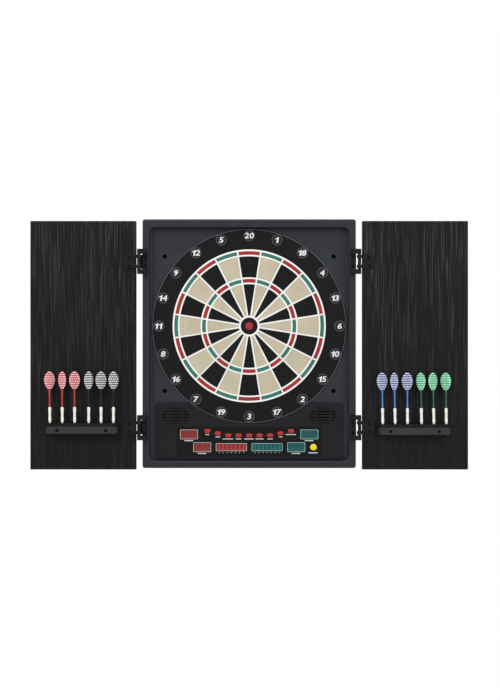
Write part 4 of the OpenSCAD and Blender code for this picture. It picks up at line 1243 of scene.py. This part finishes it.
def build_darts():
    for tints in DARTS.values():
        for tint in tints:
            for n in range(3):
                x0, x1, z0, _, near, far = extent(f"dart_{tint}_{n + 1}")
                turn = TURN[tint][n]
                solid = Solid(upright)
                solid.kind = ON_TIP
                solid.lathe(POINT, count=20)
                solid.kind = ON_BARREL
                add_barrel(solid)
                add_stem(solid, turn)
                solid.kind = ON_FLIGHT
                add_flight(solid)
                thing = solid.make(f"{tint}_dart_{n + 1}", [
                    FINISH["barrel"], FINISH["tip"], *STEM_LOOK[tint], FLIGHT_LOOK[tint]])
                lean = Matrix.Rotation(math.radians(-LEAN[tint][n]), 4, "Y")
                place = Matrix.Translation(Vector(face((x0 + x1) / 2, z0 + TIP, (near + far) / 2)))
                thing.matrix_world = place @ lean @ Matrix.Rotation(math.radians(turn), 4, "Z")
                bpy.context.view_layer.update()
                weigh_normals(thing)
                own(thing, f"dart_{tint}_{n + 1}")


FLIGHT_LOOK = {
    "red": checked("red_flight_look", (255, 226, 226), (196, 52, 54)),
    "black": checked("black_flight_look", (252, 252, 252), (22, 22, 24)),
    "blue": checked("blue_flight_look", (236, 240, 253), (50, 70, 140)),
    "green": checked("green_flight_look", (200, 255, 226), (58, 162, 110)),
}
# each stem's own colour on its ribs, and a paler colour painted on its flutes as a highlight; the flute looks
# carry that painted highlight
STEM_COLOURS_AND_HIGHLIGHTS = {
    "red": ((110, 14, 12), (214, 72, 56)),
    "black": ((7, 7, 8), (18, 18, 19)),
    "blue": ((16, 52, 104), (96, 154, 206)),
    "green": ((14, 50, 40), (62, 108, 88)),
}
STEM_LOOK = {tint: [moulded(f"{tint}_stem_{part}_look", colour, 0.3, grain=0.4, depth=0.005)
                    for part, colour in zip(("rib", "flute"), colours)]
             for tint, colours in STEM_COLOURS_AND_HIGHLIGHTS.items()}

build_doors()
build_racks()
build_screws()
build_fittings()
build_darts()


# ---------------------------------------------------------------- CAD parts that stay

def refine(node, finish, edge=0.0):
    """Gives a CAD node its finish, and rounds its sharp edges by a width in mm."""
    thing = frame["nodes"][node]
    for place in thing.material_slots:
        place.material = FINISH[finish]
    if edge:
        weld = thing.modifiers.new("Weld", "WELD")
        weld.merge_threshold = 0.005 * MM
        bevel = thing.modifiers.new("Rounded edges", "BEVEL")
        bevel.width, bevel.segments = edge * MM, 2
        bevel.limit_method, bevel.angle_limit = "ANGLE", math.radians(35)
        weigh_normals(thing)


for node, finish, edge in (
        ("wall_screw_tubes", "housing", 0.0), ("rear_cover", "cover", 0.4), ("rubber_mat", "rubber", 0.3),
        ("membrane_sheet", "film", 0.0), ("pressure_board", "fibre", 0.3), ("board_screws", "steel", 0.15),
        ("ribbon_cable", "film", 0.0), ("control_board", "board", 0.15), ("keypad", "keypad", 0.2),
        ("speakers", "speaker", 0.3), ("dc_jack", "jack", 0.25), ("hinge_brackets", "hinge", 0.5),
        ("hinge_pins", "pin", 0.3), ("left_hinge_clips", "hinge", 0.4), ("right_hinge_clips", "hinge", 0.4)):
    refine(node, finish, edge)


# ---------------------------------------------------------------- floor, light and camera

BULL_HEIGHT = 1.73          # height of the bullseye above the floor, m
CAMERA_AT = (0.0018, -2.54, -0.0536)
FOCAL, SENSOR, CLIP = 57.5, 36.0, 0.05
LIGHT_AIM = Vector((0, 0, -0.05))
ROOM_LIGHT = 0.47           # the white room's strength as light; the camera sees it at 1
LAMPS = (                   # name, place in m, size in m, power in W
    ("key", (-1.7, -1.7, 1.5), 1.4, 33),
    ("fill", (1.8, -1.8, 0.9), 1.6, 21),
    ("top", (0, -0.9, 2.3), 1.6, 20),
    ("low", (0.2, -2.0, -1.5), 1.6, 6),
    ("back_left", (-1.8, 1.6, 1.2), 1.4, 9),
    ("back_right", (1.8, 1.6, 1.0), 1.4, 9),
)


def build_floor():
    """A plain pale floor under the hung board."""
    solid = Solid(upright)
    radius, low = 2400.0, -BULL_HEIGHT / MM
    solid.lathe([(0, low - 20), (radius, low - 20), (radius, low - 2), (radius - 2, low),
                 (radius / 2, low), (0, low)], count=96)
    look = moulded("floor_look", (226, 226, 224), 0.7, grain=2.0, mottle=0.01, wear=0.0)
    floor = solid.make("floor", [look])


def build_light():
    scene = bpy.context.scene
    world = bpy.data.worlds.new("studio")
    scene.world = world
    world.use_nodes = True
    nodes, links = world.node_tree.nodes, world.node_tree.links
    seen = nodes.new("ShaderNodeLightPath").outputs["Is Camera Ray"]
    strength = nodes.new("ShaderNodeMapRange")
    strength.inputs["To Min"].default_value, strength.inputs["To Max"].default_value = ROOM_LIGHT, 1.0
    links.new(seen, strength.inputs["Value"])
    background = nodes["Background"]
    background.inputs["Color"].default_value = (1, 1, 1, 1)
    links.new(strength.outputs["Result"], background.inputs["Strength"])
    for name, at, size, power in LAMPS:
        lamp = bpy.data.lights.new(name, "AREA")
        lamp.size, lamp.energy = size, power
        holder = bpy.data.objects.new(name, lamp)
        holder.location = at
        aim = LIGHT_AIM - holder.location
        holder.rotation_euler = aim.to_track_quat("-Z", "Y").to_euler()
        scene.collection.objects.link(holder)
    scene.view_settings.view_transform = "Standard"


def build_camera():
    lens = bpy.data.cameras.new("camera")
    lens.lens, lens.sensor_width, lens.clip_start = FOCAL, SENSOR, CLIP
    holder = bpy.data.objects.new("camera", lens)
    holder.location = CAMERA_AT
    holder.rotation_euler = (math.pi / 2, 0, 0)
    bpy.context.scene.collection.objects.link(holder)
    bpy.context.scene.camera = holder


build_floor()
build_light()
build_camera()
